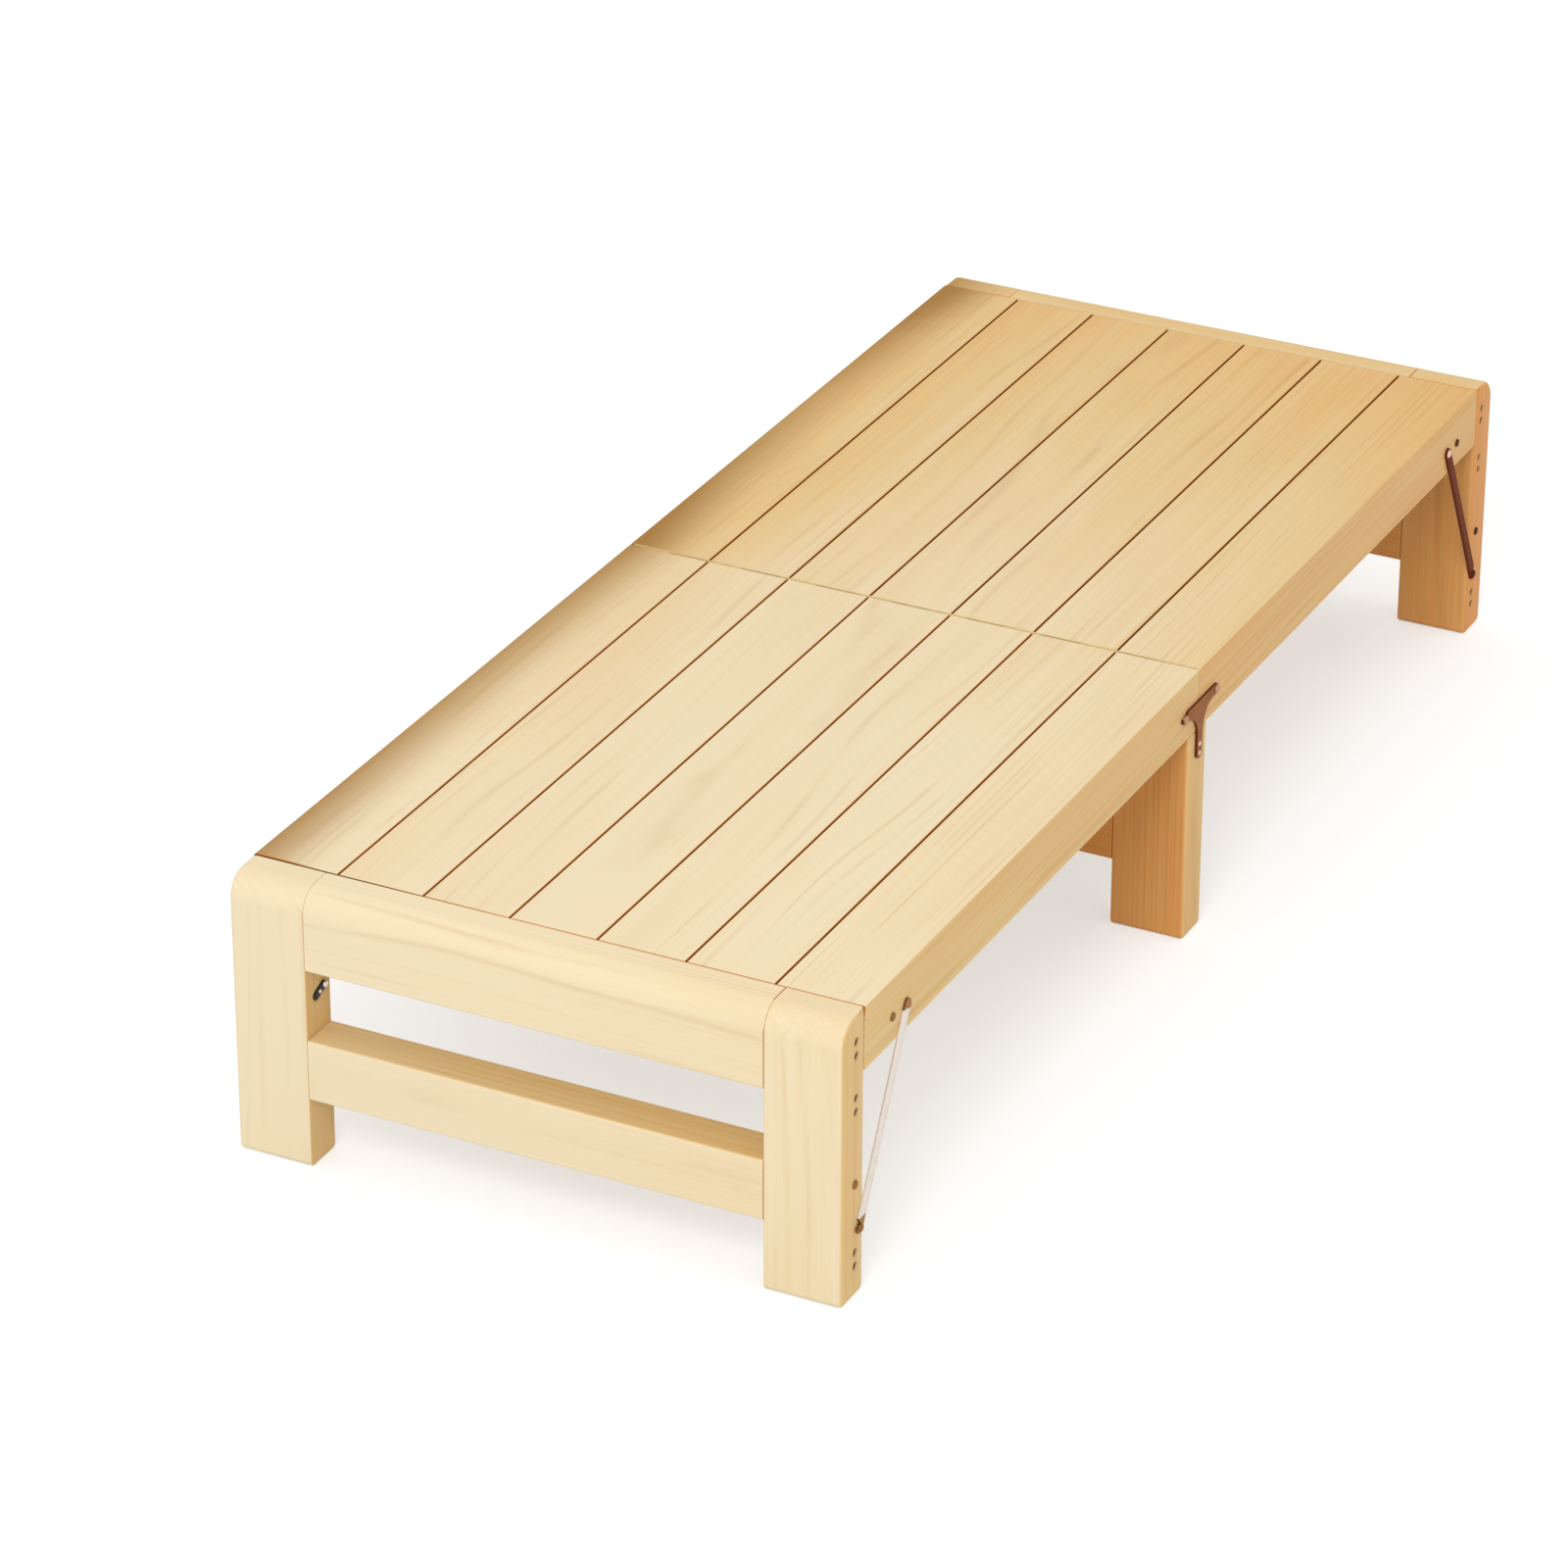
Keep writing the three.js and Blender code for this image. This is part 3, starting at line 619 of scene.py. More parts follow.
# Head braces' tan ends: heights at which they begin, width of the change, and share of
# the tan colour in each finish
BRACE_TOP, BRACE_FOOT, BRACE_CHANGE = 0.316, 0.101, 0.0006
BRACE_ENDS = {"Bright brace steel": 1, "Bright brace rim": 0.45}


def pine_grain_group():
    """Pine under clear lacquer. Position has the grain along its first axis. Growth rings
    are a wave of the distance from a pith line that a slow noise bends, so they run
    nearly straight with long open arches. A noise of that distance makes some years
    wider than others, and another breaks the rings into short streaks. Fibres are a noise
    drawn out along the grain. Tone runs from 0 to 2."""
    found = bpy.data.node_groups.get("Pine grain")
    if found:
        return found
    tree, given, result = new_group("Pine grain", {
        "Position": "Vector", "Plank": "Float", "Pale": "Color", "Golden": "Color",
        "Deep": "Color", "Ring": "Color", "Tone": "Float", "Ring Strength": "Float"})
    chance = put(tree, "TexWhiteNoise", noise_dimensions="1D", W=given["Plank"])
    chance = chance.outputs["Color"]
    start = vectors(tree, "MULTIPLY", chance, PLANK_SPREAD)
    place = vectors(tree, "ADD", given["Position"], start)

    def drawn(along, across, detail, output="Fac"):
        """Noise with its own frequencies along and across the grain."""
        stretched = vectors(tree, "MULTIPLY", place, (along, across, across))
        return noise(tree, stretched, 1.0, detail, output)

    slow = vectors(tree, "SUBTRACT", drawn(*BEND, "Color"), (0.5, 0.5, 0.5))
    wander = vectors(tree, "MULTIPLY", slow, PITH_BEND)
    pith = vectors(tree, "MULTIPLY", vectors(tree, "SUBTRACT", chance, PITH_MIDDLE), PITH_SPREAD)
    flat = vectors(tree, "MULTIPLY", given["Position"], DRAWN_OUT)
    bent = vectors(tree, "ADD", vectors(tree, "ADD", flat, wander), pith)
    radius = vectors(tree, "LENGTH", bent, output="Value")
    spot = put(tree, "CombineXYZ", X=radius).outputs[0]
    years = maths(tree, "MULTIPLY", noise(tree, spot, YEAR_CYCLES, 1.0), YEAR_CHANGE)
    turn = maths(tree, "MULTIPLY_ADD", radius, 2 * math.pi / RING_WIDTH, years)
    wave = maths(tree, "MULTIPLY_ADD", maths(tree, "SINE", turn), 0.5, 0.5)
    lines = maths(tree, "POWER", wave, RING_SHARPNESS)
    fibre = ranged(tree, drawn(*FIBRE), 0.3, 0.7)
    patches = ranged(tree, drawn(*PATCH), 0.32, 0.7)
    warmth = maths(tree, "MULTIPLY_ADD", patches, PATCH_TONE, -PATCH_TONE / 2)
    streaks = maths(tree, "MULTIPLY_ADD", fibre, FIBRE_TONE, -FIBRE_TONE / 2)
    tone = maths(tree, "ADD", given["Tone"], maths(tree, "ADD", warmth, streaks))
    golden = put(tree, "Clamp", Value=tone).outputs[0]
    deep = put(tree, "Clamp", Value=maths(tree, "SUBTRACT", tone, 1.0)).outputs[0]
    ground = blended(tree, golden, given["Pale"], given["Golden"])
    ground = blended(tree, deep, ground, given["Deep"])
    sparse = ranged(tree, drawn(*STREAK), 0.42, 0.66, 0.25, 1.6)
    gain = maths(tree, "MULTIPLY_ADD", deep, DEEP_RINGS, 1.0)
    strength = maths(tree, "MULTIPLY", given["Ring Strength"], gain)
    shown = maths(tree, "MULTIPLY", maths(tree, "MULTIPLY", lines, sparse), strength)
    pores = maths(tree, "MULTIPLY", drawn(*FINE), 0.7)
    feed(tree, result, {
        "Color": blended(tree, shown, ground, given["Ring"]),
        "Roughness": maths(tree, "MULTIPLY_ADD", fibre, 0.1, 0.42),
        "Height": maths(tree, "MULTIPLY_ADD", lines, 0.3, pores)})
    return tree


def worn_metal_group():
    """Handled metal: a base colour that a cloudy noise darkens, with fine scratches."""
    found = bpy.data.node_groups.get("Handled metal")
    if found:
        return found
    tree, given, result = new_group("Handled metal", {
        "Position": "Vector", "Bright": "Color", "Dark": "Color", "Cloud": "Float",
        "Smoothness": "Float"})
    cloud = noise(tree, given["Position"], CLOUD_CYCLES, 4.0)
    scratch = noise(tree, vectors(tree, "MULTIPLY", given["Position"], SCRATCH_CYCLES), 1.0, 3.0)
    dull = maths(tree, "MULTIPLY", ranged(tree, cloud, 0.3, 0.75), given["Cloud"])
    # Roughness without scratches, a little under 1 - smoothness
    even = maths(tree, "SUBTRACT", 0.94, given["Smoothness"])
    feed(tree, result, {
        "Color": blended(tree, dull, given["Bright"], given["Dark"]),
        "Roughness": maths(tree, "MULTIPLY_ADD", scratch, SCRATCH_DEPTH, even),
        "Height": maths(tree, "ADD", scratch, cloud)})
    return tree


def new_material(name):
    """An empty material with its shader and output, and its object coordinates."""
    material = bpy.data.materials.new(name)
    tree = emptied(material)
    shader = tree.nodes.new("ShaderNodeBsdfPrincipled")
    put(tree, "OutputMaterial", Surface=shader.outputs["BSDF"])
    return material, tree, shader.inputs, tree.nodes.new("ShaderNodeTexCoord").outputs


def bumped(tree, height, strength, distance):
    """A normal from a height."""
    return put(tree, "Bump", Strength=strength, Distance=distance, Height=height).outputs[0]


def pine_material(name):
    """Lacquered pine with its grain along one axis. The narrow sides of the wood are warmer as
    painted shade, sawn ends are duller, and painted shade darkens joints, grooves, recesses and
    wider shaded stretches."""
    found = bpy.data.materials.get(name)
    if found:
        return found
    grain_axis, flank_axis = PINE_AXES[name]
    wood = bpy.context.scene.bed_wood
    material, tree, shader, coordinates = new_material(name)
    read = {
        key: put(tree, "Attribute", attribute_name=key).outputs["Fac"] for key in WOOD_NUMBERS}
    place = put(tree, "SeparateXYZ", Vector=coordinates["Object"]).outputs
    across = [place[axis] for axis in (0, 1, 2) if axis != grain_axis]
    position = put(tree, "CombineXYZ", X=place[grain_axis], Y=across[0], Z=across[1])
    normal = put(tree, "SeparateXYZ", Vector=coordinates["Normal"]).outputs
    flank = ranged(tree, maths(tree, "ABSOLUTE", normal[flank_axis]), *FLANK_TURN)
    sawn = ranged(tree, maths(tree, "ABSOLUTE", normal[grain_axis]), *SAWN_TURN)
    tone = maths(tree, "MULTIPLY_ADD", flank, read["flank"], read["tone"])
    strength = wood.ring_strength
    grain = put(
        tree, "Group", node_tree=pine_grain_group(),
        Position=position.outputs[0], Plank=read["plank"], Pale=opaque(wood.pale),
        Golden=opaque(wood.golden), Deep=opaque(wood.deep), Ring=opaque(wood.ring),
        Tone=maths(tree, "MULTIPLY_ADD", sawn, read["crown"], tone),
        Ring_Strength=maths(tree, "MULTIPLY_ADD", sawn, SAWN_RINGS * strength, strength)).outputs
    colour = grain["Color"]
    # Sawn ends are duller; then painted shade over the wider stretches, and painted shade in the
    # hollows, darkest at their bottoms
    for amount, shown in (
            (maths(tree, "MULTIPLY", sawn, SAWN_DULL), wood.end_grain),
            (ranged(tree, read["shade"], *SHADE_RANGE), wood.shaded),
            (ranged(tree, read["stain"], *SHADE_RANGE), wood.joint),
            (ranged(tree, read["stain"], *DARKEST_SHADE_RANGE), wood.bored)):
        colour = blended(tree, amount, colour, opaque(shown))
    feed(tree, shader, {
        "Base Color": colour, "Roughness": grain["Roughness"], "Specular IOR Level": 0.1,
        "Coat Weight": 0.03, "Coat Roughness": 0.35,
        "Normal": bumped(tree, grain["Height"], 0.12, 0.0003)})
    return material


def metal_material(name):
    """Plated or bronzed steel with faint clouding and scratches, and with the tan top and foot of
    the head braces, whose near-white middle is a painted highlight."""
    found = bpy.data.materials.get(name)
    if found:
        return found
    metal = bpy.context.scene.bed_metal
    setting, clean, clouded, metallic, smoothness, cloud, gloss = METALS[name]
    plating = getattr(metal, setting)
    material, tree, shader, coordinates = new_material(name)
    worn = put(
        tree, "Group", node_tree=worn_metal_group(), Position=coordinates["Object"],
        Bright=opaque(darker(plating, clean)), Dark=opaque(darker(plating, clouded)),
        Cloud=cloud, Smoothness=smoothness).outputs
    colour = worn["Color"]
    if name in BRACE_ENDS:
        height = put(tree, "SeparateXYZ", Vector=coordinates["Object"]).outputs[2]
        top = ranged(tree, height, BRACE_TOP, BRACE_TOP + BRACE_CHANGE)
        foot = ranged(tree, height, BRACE_FOOT, BRACE_FOOT + BRACE_CHANGE, 1.0, 0.0)
        tan = opaque(darker(metal.brace_end, BRACE_ENDS[name]))
        colour = blended(tree, maths(tree, "MAXIMUM", top, foot), colour, tan)
    feed(tree, shader, {
        "Base Color": colour, "Roughness": worn["Roughness"], "Metallic": metallic,
        "Specular IOR Level": gloss, "Normal": bumped(tree, worn["Height"], 0.1, 0.0001)})
    return material


# Operators

# Tone of each board of both halves, from left to right: at its near end, at its far end, and how
# much its left side is warmer than its middle. Besides the wood's own tone this holds painted
# shade, which deepens towards the deck's far end and its left side
BOARD_TONES = {
    -1: ((0.12, 0.45, 0.12), (0.12, 0.35, 0.12), (0.02, 0.14, 0.04), (0.02, 0.12, 0.0),
         (0.0, 0.14, 0.0), (0.02, 0.22, 0.0), (0.08, 0.28, -0.04)),
    1: ((0.85, 1.12, 0.1), (0.62, 1.06, 0.2), (0.42, 1.15, 0.06), (0.22, 1.06, 0.0),
        (0.2, 1.22, 0.0), (0.22, 1.2, -0.04), (0.42, 1.3, -0.08)),
}
# Tone of both halves' side rails, which the narrow sides of their edge boards share: warmer than
# the deck as painted shade on the bed's sides
SIDE_TONE = {-1: 1.08, 1: 1.3}


class BED_OT_boards(bpy.types.Operator):
    """Lay the deck boards, with their upper edges eased and painted shade in their joints and along
    the deck's left side
    """

    bl_idname = "bed.boards"
    bl_label = "Deck boards"

    # Shade of the left edge boards' outer side at five places from near to far, and how
    # fast it falls inwards
    shade_places = (0.0, 0.25, 0.55, 0.8, 1.0)
    edge_shade = {-1: (0.68, 0.65, 0.61, 0.62, 0.68), 1: (0.85, 0.65, 0.54, 0.65, 0.92)}
    shade_falloff = 0.6
    # Shares of those boards' length at which colours may change
    edge_rings = (0.006, *np.linspace(0.05, 0.95, 19))
    # Painted shade in the grooves between the boards, and how fast it falls upwards
    groove_depth = {-1: 1.15, 1: 1.35}
    groove_falloff = 1.8
    # Painted shade in the joints with the end frames: on top at the head, what is added there from
    # this share of the half width to the left corner, on top at the foot, and on the side
    head_joint, left_joint, left_start = 1.15, 5.0, 0.35
    foot_joint, side_joint = 0.9, 0.3
    # Depth, length and falloff of the darkest painted shade, at the near left corner of the deck
    corner_depth, corner_reach, corner_falloff = 1.7, 0.006, 1.5

    def execute(self, context):
        wood = context.scene.bed_wood
        edge, joint = wood.board_edge, wood.joint_edge
        for name, end in ENDS:
            for place, (near, far, lean) in enumerate(BOARD_TONES[end], 1):
                node = f"{name}_board_{place}"
                low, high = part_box(node)
                surface = rounded_bar(
                    low, high, ALONG_Y, (edge, joint)[::-end], [SQUARE, edge, edge, SQUARE],
                    between=self.edge_rings if place == 1 else ())
                piece = add_wood(node, surface, "Board pine")
                points = points_of(piece)
                across, along, _ = shares_of(points, node).T
                stain = np.maximum(self.groove_shade(points, low, high, edge, end),
                                   self.end_shade(points, low, high, edge, end))
                tone = near + (far - near) * along + lean * (1 - 2 * across)
                shade = 0.0
                if place == 1:
                    shade = np.interp(along, self.shade_places, self.edge_shade[end])
                    shade *= (1 - across) ** self.shade_falloff * (points[:, 2] > low.z + edge)
                    if end < 0:
                        corner = np.clip(1 - along / self.corner_reach, 0, 1)
                        corner *= (1 - across) ** self.corner_falloff
                        corner *= points[:, 2] > high.z - edge
                        stain = np.maximum(stain, self.corner_depth * corner)
                flank = np.maximum(SIDE_TONE[end] - tone, 0)
                colour_wood(piece, node, tone, flank, 0.0, stain, shade)
        return {"FINISHED"}

    def groove_shade(self, points, low, high, edge, end):
        """Painted shade on the sides that face another board: it falls from the side to 0 over the
        rounding above it, as (1 - distance / edge) ** falloff, and is 0 underneath."""
        stain = np.zeros(len(points))
        for side in (low.x, high.x):
            if abs(side) < BED_HALF_WIDTH - edge:
                share = np.clip(1 - np.abs(points[:, 0] - side) / edge, 0, 1)
                stain = np.maximum(stain, self.groove_depth[end] * share**self.groove_falloff)
        return stain * (points[:, 2] > low.z + MERGE_DISTANCE)

    def end_shade(self, points, low, high, edge, end):
        """Painted shade on the rim that faces the end frame: slight on the side of the bed, deeper
        on top, and at the head deeper still towards the left corner."""
        rim = rim_shade(points, low, high, 1, edge, (0,) if end < 0 else (1,))
        left = np.interp(-points[:, 0] / BED_HALF_WIDTH, (self.left_start, 1), (0, 1))
        depth = self.head_joint + self.left_joint * left if end < 0 else self.foot_joint
        return rim * np.where(points[:, 2] > high.z - 2 * edge, depth, self.side_joint)


class BED_OT_side_rails(bpy.types.Operator):
    """Set the side rails under the edge boards, and the battens between them"""

    bl_idname = "bed.side_rails"
    bl_label = "Side rails and battens"

    batten_tone = 0.9

    def execute(self, context):
        wood = context.scene.bed_wood
        edge, ends = wood.board_edge, (wood.joint_edge, wood.joint_edge)
        for name, end in ENDS:
            for label, _ in SIDES:
                node = f"{name}_rail_{label}"
                surface = rounded_bar(*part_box(node), ALONG_Y, ends, [edge, SQUARE, SQUARE, edge])
                colour_wood(add_wood(node, surface, "Board pine"), node, SIDE_TONE[end])
            for label in ("end", "centre", "seam"):
                node = f"{name}_{label}_batten"
                surface = rounded_bar(*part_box(node), ALONG_X, ends, [edge] * 4)
                colour_wood(add_wood(node, surface, "Cross rail pine"), node, self.batten_tone)
        return {"FINISHED"}


class BED_OT_leg_frames(bpy.types.Operator):
    """Stand the three leg frames up, with eased edges and a wide round at both ends"""

    bl_idname = "bed.leg_frames"
    bl_label = "Leg frames"

    inner_edge = 0.0018
    bottom_radius = 0.008
    rail_radius = 0.003
    corner_steps = 12
    # Tones of the legs' near and far faces, of their narrow sides' near and far edges and of the
    # left and right leg's top; then of each rail's near and far faces, and what its top and bottom
    # add. Most of their spread is painted shade: deep on the middle and foot frames' faces under
    # the bed, warmer on the narrow sides, on the lower head rail's top and on the foot rail's top
    tones = {
        "head": ((0.02, 0.0, 1.12, 1.05, 0.0, 0.0), (0.04, 0.02, 0.0), (0.0, 0.1, 0.76)),
        "foot": ((1.7, 0.5, 2.0, 1.9, 1.0, 0.85), (0.4, 0.7, 0.36), (1.75, 0.6, 0.0)),
        "middle": ((1.8, 1.1, 1.18, 1.1, 1.0, 1.0), (1.5, 1.2, 0.0), (2.0, 1.3, 0.0)),
    }
    # Tone that the head frame gains from the middle to its right side, and loses to its left
    head_lean = 0.2
    # Shade on top of the foot frame's left leg, at the joint with the rail and outside
    top_shaded = (0.2, 0.6)

    def execute(self, context):
        for name, end in (*ENDS, ("middle", 0)):
            legs, upper, lower = self.tones[name]
            for label, side in SIDES:
                self.leg(f"{name}_leg_{label}", side, end, legs)
            self.rail(f"{name}_upper_rail", self.section(end, self.rail_radius), upper)
            self.rail(f"{name}_lower_rail", [self.rail_radius] * 4, lower)
        return {"FINISHED"}

    def section(self, end, bottom):
        """Corner radii of a frame's section: the outer top corner is the wide round."""
        wood = bpy.context.scene.bed_wood
        joint, top = wood.joint_edge, wood.top_round
        return [bottom, bottom, top if end > 0 else joint, top if end < 0 else joint]

    def leg(self, node, side, end, colours):
        """A leg, with the recesses of the end legs cut and painted shade in them."""
        ends = (bpy.context.scene.bed_wood.frame_edge, self.inner_edge)[::-side]
        surface = rounded_bar(*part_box(node), ALONG_X, ends, self.section(end, self.bottom_radius),
                              corner_steps=self.corner_steps)
        piece = add_wood(node, surface, "Leg pine")
        stain = shade = 0.0
        if end:
            cut_recesses(piece, self.cutters(side, end))
            stain = recess_shade(points_of(piece), end)
        if end > 0 and side < 0:
            shade = self.top_shade(piece, node)
        near, far, side_near, side_far, *tops = colours
        share, lean = self.depth_share(piece, node)
        tone = near + (far - near) * share + lean
        flank = side_near + (side_far - side_near) * share - tone
        colour_wood(piece, node, tone, flank, tops[side > 0] + lean - tone, stain, shade)

    def top_shade(self, piece, node):
        """Shade of a left leg's top, which falls to 0 over the wide round."""
        points = points_of(piece)
        outwards = 1 - shares_of(points, node)[:, 0]
        level = (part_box(node)[1].z - points[:, 2]) / bpy.context.scene.bed_wood.top_round
        return np.interp(outwards, (0, 1), self.top_shaded) * np.clip(1 - level, 0, 1)

    def depth_share(self, piece, node):
        """How far each point lies from the near face (0) towards the far face (1), and the
        tone that the head frame's lean adds there."""
        points = points_of(piece)
        lean = self.head_lean if node.startswith("head") else 0.0
        return shares_of(points, node)[:, 1], lean * points[:, 0] / BED_HALF_WIDTH

    def rail(self, node, radii, colours):
        """A cross rail, with painted shade where its ends meet the legs."""
        joint = bpy.context.scene.bed_wood.joint_edge
        low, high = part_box(node)
        surface = rounded_bar(low, high, ALONG_X, (joint, joint), radii,
                              corner_steps=self.corner_steps)
        piece = add_wood(node, surface, "Cross rail pine")
        near, far, top = colours
        share, lean = self.depth_share(piece, node)
        colour_wood(piece, node, near + (far - near) * share + lean, top, 0.0,
                    rim_shade(points_of(piece), low, high, 0, joint))

    def cutters(self, side, end):
        """Short cylinders where the recesses go, running out past the leg's face."""
        trim = bpy.context.scene.bed_trim
        radius, depth = trim.recess_radius, trim.recess_depth
        wall = [(radius, -depth), (radius, -WALL_SHARE * depth), (radius, depth)]
        profile = [(0, -depth), *wall, (0, depth)]
        return joined([
            turned_solid(profile, (side * BED_HALF_WIDTH, along, up), 32, side)
            for along, up in recess_places(end)
        ])


class BED_OT_plates(bpy.types.Operator):
    """Fit the tee plates and the braces"""

    bl_idname = "bed.plates"
    bl_label = "Tee plates and braces"

    # Finishes of each plate's faces, of its rims and of what stands out
    finishes = {
        "tee_plate": ("Copper-brown plate", "Darkened plate rim", "Pale copper screws"),
        "head_brace": ("Bright brace steel", "Bright brace rim", "Bright brace steel"),
        "foot_brace": ("Red-brown brace steel", "Darkened plate rim", "Pale copper screws"),
    }
    # Sideways place beyond which a plate's screws and rivets stand out
    plate_face = 0.4014

    def execute(self, context):
        edge = context.scene.bed_metal.plate_edge
        for label, _ in SIDES:
            for plate, finishes in self.finishes.items():
                add_metal_copy(f"{plate}_{label}", finishes, edge, self.plate_face)
        return {"FINISHED"}


class BED_OT_bolts(bpy.types.Operator):
    """Turn the tie rods with their round heads, and the studs of the braces"""

    bl_idname = "bed.bolts"
    bl_label = "Tie rods and studs"

    shank = 0.003
    head_height = 0.003

    def execute(self, context):
        for name, end in ENDS:
            for label in ("seam", "end", "leg"):
                finish = "Hook pin copper" if label == "seam" else BOLT_STEEL[end]
                self.turn(f"{name}_{label}_tie_rod", 0, finish)
            for label, side in SIDES:
                self.turn(f"{name}_brace_stud_{label}", side, BOLT_STEEL[end])
        return {"FINISHED"}

    def turn(self, node, side, finish):
        """A shank with a round head on its outer end. A tie rod, which has no side of its
        own, has the same outline once more towards its other end."""
        low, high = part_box(node)
        middle, radius = (low + high) / 2, (high.z - low.z) / 2
        tip, reach = (low.x, high.x) if side >= 0 else (-high.x, -low.x)
        neck = reach - self.head_height
        outline = [(self.shank, neck), *head_profile(radius, self.head_height, neck)[::-1]]
        if side:
            profile = [(0, tip), (self.shank, tip), *outline]
        else:
            profile = [*((r, -d) for r, d in outline[::-1]), *outline]
        segments = bpy.context.scene.bed_metal.head_segments
        surface = turned_solid(profile, (0, middle.y, middle.z), segments, side or 1)
        piece = add_piece(node + "_metal", surface, metal_material(finish), BODY_OF[node],
                          SLOT_OF[node], METAL_SHARP)
        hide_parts(node)


class BED_OT_hinges(bpy.types.Operator):
    """Fit the long hinges of the leg frames and of the seam"""

    bl_idname = "bed.hinges"
    bl_label = "Hinges"

    def execute(self, context):
        for name in ("head", "foot", "middle"):
            for leaf in ("deck_leaf", "leg_leaf"):
                add_metal_copy(f"{name}_frame_hinge_{leaf}", ["Plated hinge steel"])
        for name, _ in ENDS:
            add_metal_copy(f"{name}_seam_hinge_leaf", ["Aged seam brass"])
        return {"FINISHED"}


class BED_OT_frame_screws(bpy.types.Operator):
    """Put a screw at the bottom of each recess in the end legs"""

    bl_idname = "bed.frame_screws"
    bl_label = "Recessed screws"

    # Height of the heads, how far they stand off the wood, and the socket's radius and
    # bottom as shares of the head's own
    head_height = 0.001
    stand_off = 0.0002
    socket_radius = 0.45
    socket_bottom = 0.4

    def execute(self, context):
        trim = context.scene.bed_trim
        for leg, side, end in end_legs():
            face = side * (BED_HALF_WIDTH - trim.recess_depth)
            surface = joined([
                turned_solid(self.profile(trim), (face, along, up), 28, side)
                for along, up in recess_places(end)
            ])
            add_trim(f"{leg}_screws", surface, "Dull screw steel", leg)
        return {"FINISHED"}

    def profile(self, trim):
        """A low round head with a conical socket: its outline falls back to the axis."""
        radius, base = trim.screw_radius, self.stand_off
        socket = radius * self.socket_radius
        rim = head_profile(radius, self.head_height, base, 12)
        outside = [(r, d) for r, d in rim if r > socket]
        bottom = self.head_height * self.socket_bottom
        return [(0, base), *outside[::-1], (socket, outside[0][1]), (0, bottom)]


class BED_OT_keeper_plates(bpy.types.Operator):
    """Fix an oval keeper plate with a screw and a catch to each end leg's inner side"""

    bl_idname = "bed.keeper_plates"
    bl_label = "Keeper plates"

    edge = 0.0006
    # Radius, height and place along the plate of the screw head and of the catch: the
    # radius as a share of the plate's height, the place as one of half its length
    heads = ((0.22, 0.0018, 0.1), (0.36, 0.0034, -0.72))

    def execute(self, context):
        for leg, side, end in end_legs():
            oval, heads = self.surfaces(context.scene.bed_trim, side, end)
            add_trim(f"{leg}_keeper", oval, "Black nickel", leg, WOOD_SHARP)
            add_trim(f"{leg}_keeper_heads", heads, "Polished steel", leg)
        return {"FINISHED"}

    def surfaces(self, trim, side, end):
        """The oval plate, as a thin bar with fully rounded corners, and its two heads."""
        along, up = end * (BED_HALF_LENGTH - trim.keeper_inset), trim.keeper_level
        face = side * LEG_INNER
        back = face - side * trim.keeper_thickness
        half = np.array([trim.keeper_length, trim.keeper_height]) / 2
        low = (min(face, back), along - half[0], up - half[1])
        high = (max(face, back), along + half[0], up + half[1])
        oval = rounded_bar(low, high, ALONG_X, (self.edge, self.edge), [half[1]] * 4,
                           corner_steps=10)
        heads = joined([
            turned_solid([(0, 0), *head_profile(share * trim.keeper_height, height, 0)[::-1]],
                         (back, along + end * place * half[0], up), 32, -side)
            for share, height, place in self.heads
        ])
        turn = -end * trim.keeper_tilt
        return self.tilted(oval, along, up, turn), self.tilted(heads, along, up, turn)

    def tilted(self, surface, along, up, turn):
        """A surface turned about an axis across the bed."""
        points, faces = surface
        ahead, above = points[:, 1] - along, points[:, 2] - up
        turned = np.stack([points[:, 0], along + ahead * math.cos(turn) - above * math.sin(turn),
                           up + ahead * math.sin(turn) + above * math.cos(turn)], 1)
        return turned, faces


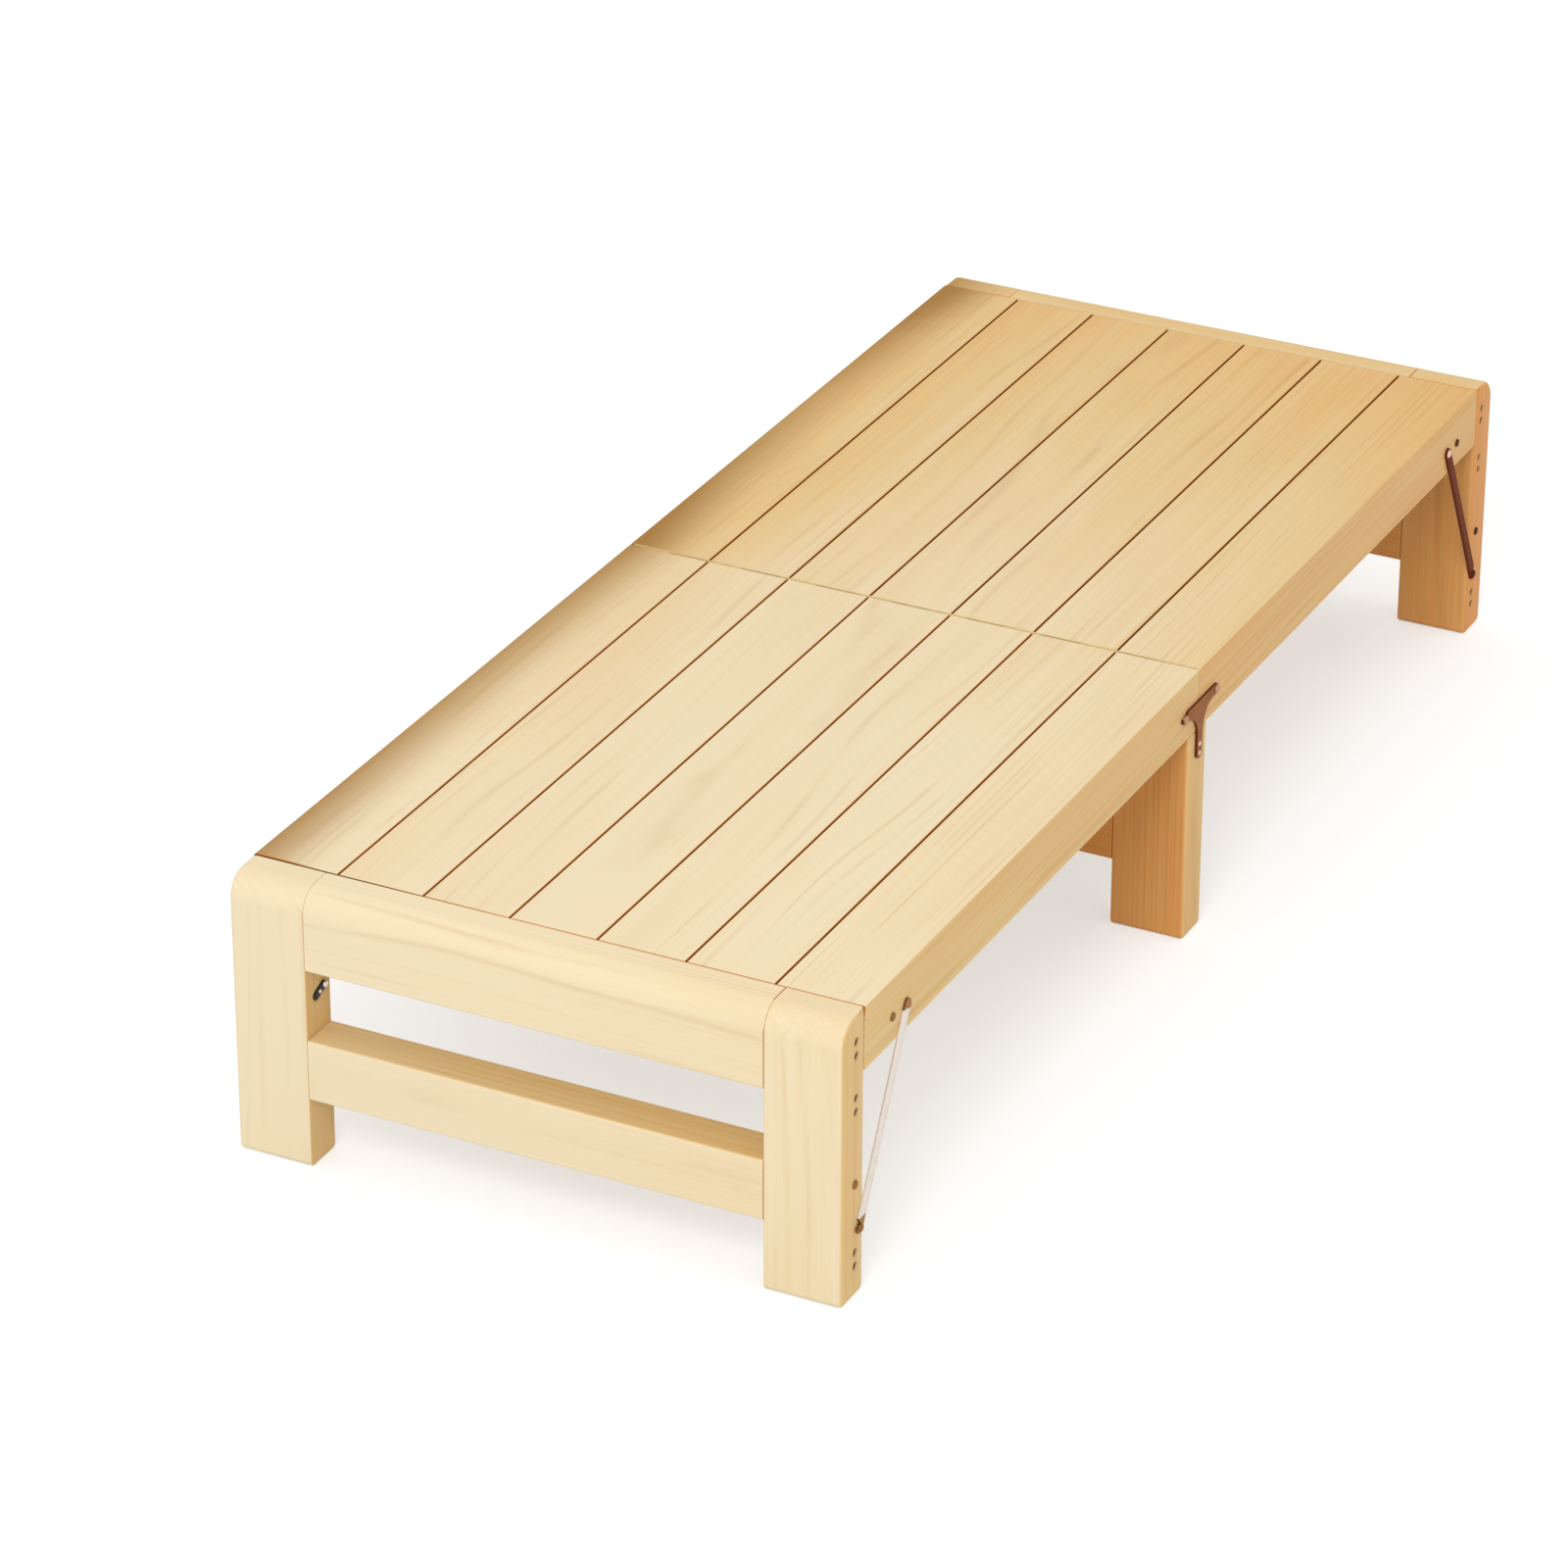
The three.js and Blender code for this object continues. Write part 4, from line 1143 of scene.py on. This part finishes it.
class BED_OT_stage(bpy.types.Operator):
    """Set up the floor, the light and the camera"""

    bl_idname = "bed.stage"
    bl_label = "Stage"

    # Camera place and turn, fitted to the photograph's perspective
    target = (-0.068937, -0.214747, 0.2)
    azimuth = 26.6011
    elevation = 27.6903
    roll = 0.1371
    distance = 8.068837
    sensor = 36.0
    nearest, farthest = 0.1, 200.0
    floor_half = 40.0
    lamp_place, lamp_aim, lamp_size = (1.7, -6.0, 5.3), (0.0, 0.0, 0.25), 2.6

    def execute(self, context):
        stage = context.scene.bed_stage
        self.make_floor(stage)
        self.make_light(context.scene, stage)
        self.make_camera(context.scene, stage)
        context.scene.view_settings.view_transform = "Standard"
        return {"FINISHED"}

    def seen_directly(self, tree):
        """1 for rays from the camera, from gloss and through glass, else 0."""
        path = tree.nodes.new("ShaderNodeLightPath").outputs
        gloss = maths(tree, "MAXIMUM", path["Is Camera Ray"], path["Is Glossy Ray"])
        return maths(tree, "MAXIMUM", gloss, path["Is Transmission Ray"])

    def make_floor(self, stage):
        """A pale floor that takes the bed's shadow. What the lamps leave short of white is
        added for rays that see it directly."""
        half = self.floor_half
        mesh = bpy.data.meshes.new("floor")
        mesh.from_pydata([(-half, -half, 0), (half, -half, 0), (half, half, 0), (-half, half, 0)],
                         [], [(0, 1, 2, 3)])
        floor = linked("floor", mesh)
        material = bpy.data.materials.new("Pale floor")
        mesh.materials.append(material)
        tree = emptied(material)
        direct = self.seen_directly(tree)
        colour = blended(tree, direct, opaque(stage.floor_colour), opaque(stage.seen_floor))
        ground = put(tree, "BsdfDiffuse", Color=colour)
        lift = maths(tree, "MULTIPLY", direct, stage.floor_lift)
        glow = put(tree, "Emission", Strength=lift)
        both = tree.nodes.new("ShaderNodeAddShader")
        feed(tree, both.inputs, {0: ground.outputs[0], 1: glow.outputs[0]})
        put(tree, "OutputMaterial", Surface=both.outputs[0])
        floor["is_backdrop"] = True

    def make_light(self, scene, stage):
        """An even surrounding light and one large soft light from the front and above."""
        world = bpy.data.worlds.new("Pale surroundings")
        tree = emptied(world)
        direct = self.seen_directly(tree)
        strength = maths(tree, "MAXIMUM", direct, stage.sky_strength)
        tint = blended(tree, direct, opaque(stage.sky_colour), opaque((1.0, 1.0, 1.0)))
        sky = put(tree, "Background", Color=tint, Strength=strength)
        put(tree, "OutputWorld", Surface=sky.outputs[0])
        scene.world = world
        lamp = adjusted(bpy.data.lights.new("Main light", "AREA"), shape="DISK",
                        size=self.lamp_size, energy=stage.key_power)
        place, aim = np.array(self.lamp_place), np.array(self.lamp_aim)
        linked("Main light", lamp).matrix_world = self.looking(place, aim)

    def looking(self, place, aim):
        """A matrix at a place that looks at an aim along its own -Z, upright."""
        back = (place - aim) / np.linalg.norm(place - aim)
        right = np.cross((0, 0, 1), back)
        right /= np.linalg.norm(right)
        up = np.cross(back, right)
        turn = Matrix(np.column_stack([right, up, back]).tolist()).to_4x4()
        return Matrix.Translation(place.tolist()) @ turn

    def make_camera(self, scene, stage):
        """The camera stands at a distance along the view's azimuth and elevation, and rolls
        about its own axis."""
        azimuth, elevation = math.radians(self.azimuth), math.radians(self.elevation)
        level = math.cos(elevation)
        back = np.array([
            math.sin(azimuth) * level, -math.cos(azimuth) * level, math.sin(elevation)])
        target = np.array(self.target)
        data = adjusted(
            bpy.data.cameras.new("Camera"), sensor_width=self.sensor, lens=stage.lens,
            clip_start=self.nearest, clip_end=self.farthest)
        camera = linked("Camera", data)
        camera.matrix_world = self.looking(target + back * self.distance, target) @ Matrix.Rotation(
            math.radians(self.roll), 4, "Z")
        scene.camera = camera


SETTINGS = {"bed_wood": BedWood, "bed_metal": BedMetal, "bed_trim": BedTrim, "bed_stage": BedStage}
OPERATORS = (
    BED_OT_boards, BED_OT_side_rails, BED_OT_leg_frames, BED_OT_plates, BED_OT_bolts,
    BED_OT_hinges, BED_OT_frame_screws, BED_OT_keeper_plates, BED_OT_stage,
)


class BED_PT_panel(bpy.types.Panel):
    """Lists the bed's settings and its operators"""

    bl_label = "Folding pine bed"
    bl_idname = "BED_PT_panel"
    bl_space_type = "VIEW_3D"
    bl_region_type = "UI"
    bl_category = "Bed"

    def draw(self, context):
        for name, group in SETTINGS.items():
            box = self.layout.box()
            box.label(text=group.__name__)
            for key in group.__annotations__:
                box.prop(getattr(context.scene, name), key)
        for operator in OPERATORS:
            self.layout.operator(operator.bl_idname)


CLASSES = (*SETTINGS.values(), *OPERATORS, BED_PT_panel)


def register():
    for kind in CLASSES:
        bpy.utils.register_class(kind)
    for name, group in SETTINGS.items():
        setattr(bpy.types.Scene, name, PointerProperty(type=group))


def unregister():
    for name in SETTINGS:
        delattr(bpy.types.Scene, name)
    for kind in reversed(CLASSES):
        bpy.utils.unregister_class(kind)


def corners():
    """Lowest and highest corner of what is shown, as plain lists."""
    return [list(corner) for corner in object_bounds()]


def main():
    """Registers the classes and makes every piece."""
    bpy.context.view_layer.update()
    register()
    for operator in OPERATORS:
        getattr(bpy.ops.bed, operator.bl_idname.split(".")[1])()


if __name__ == "__main__":
    main()
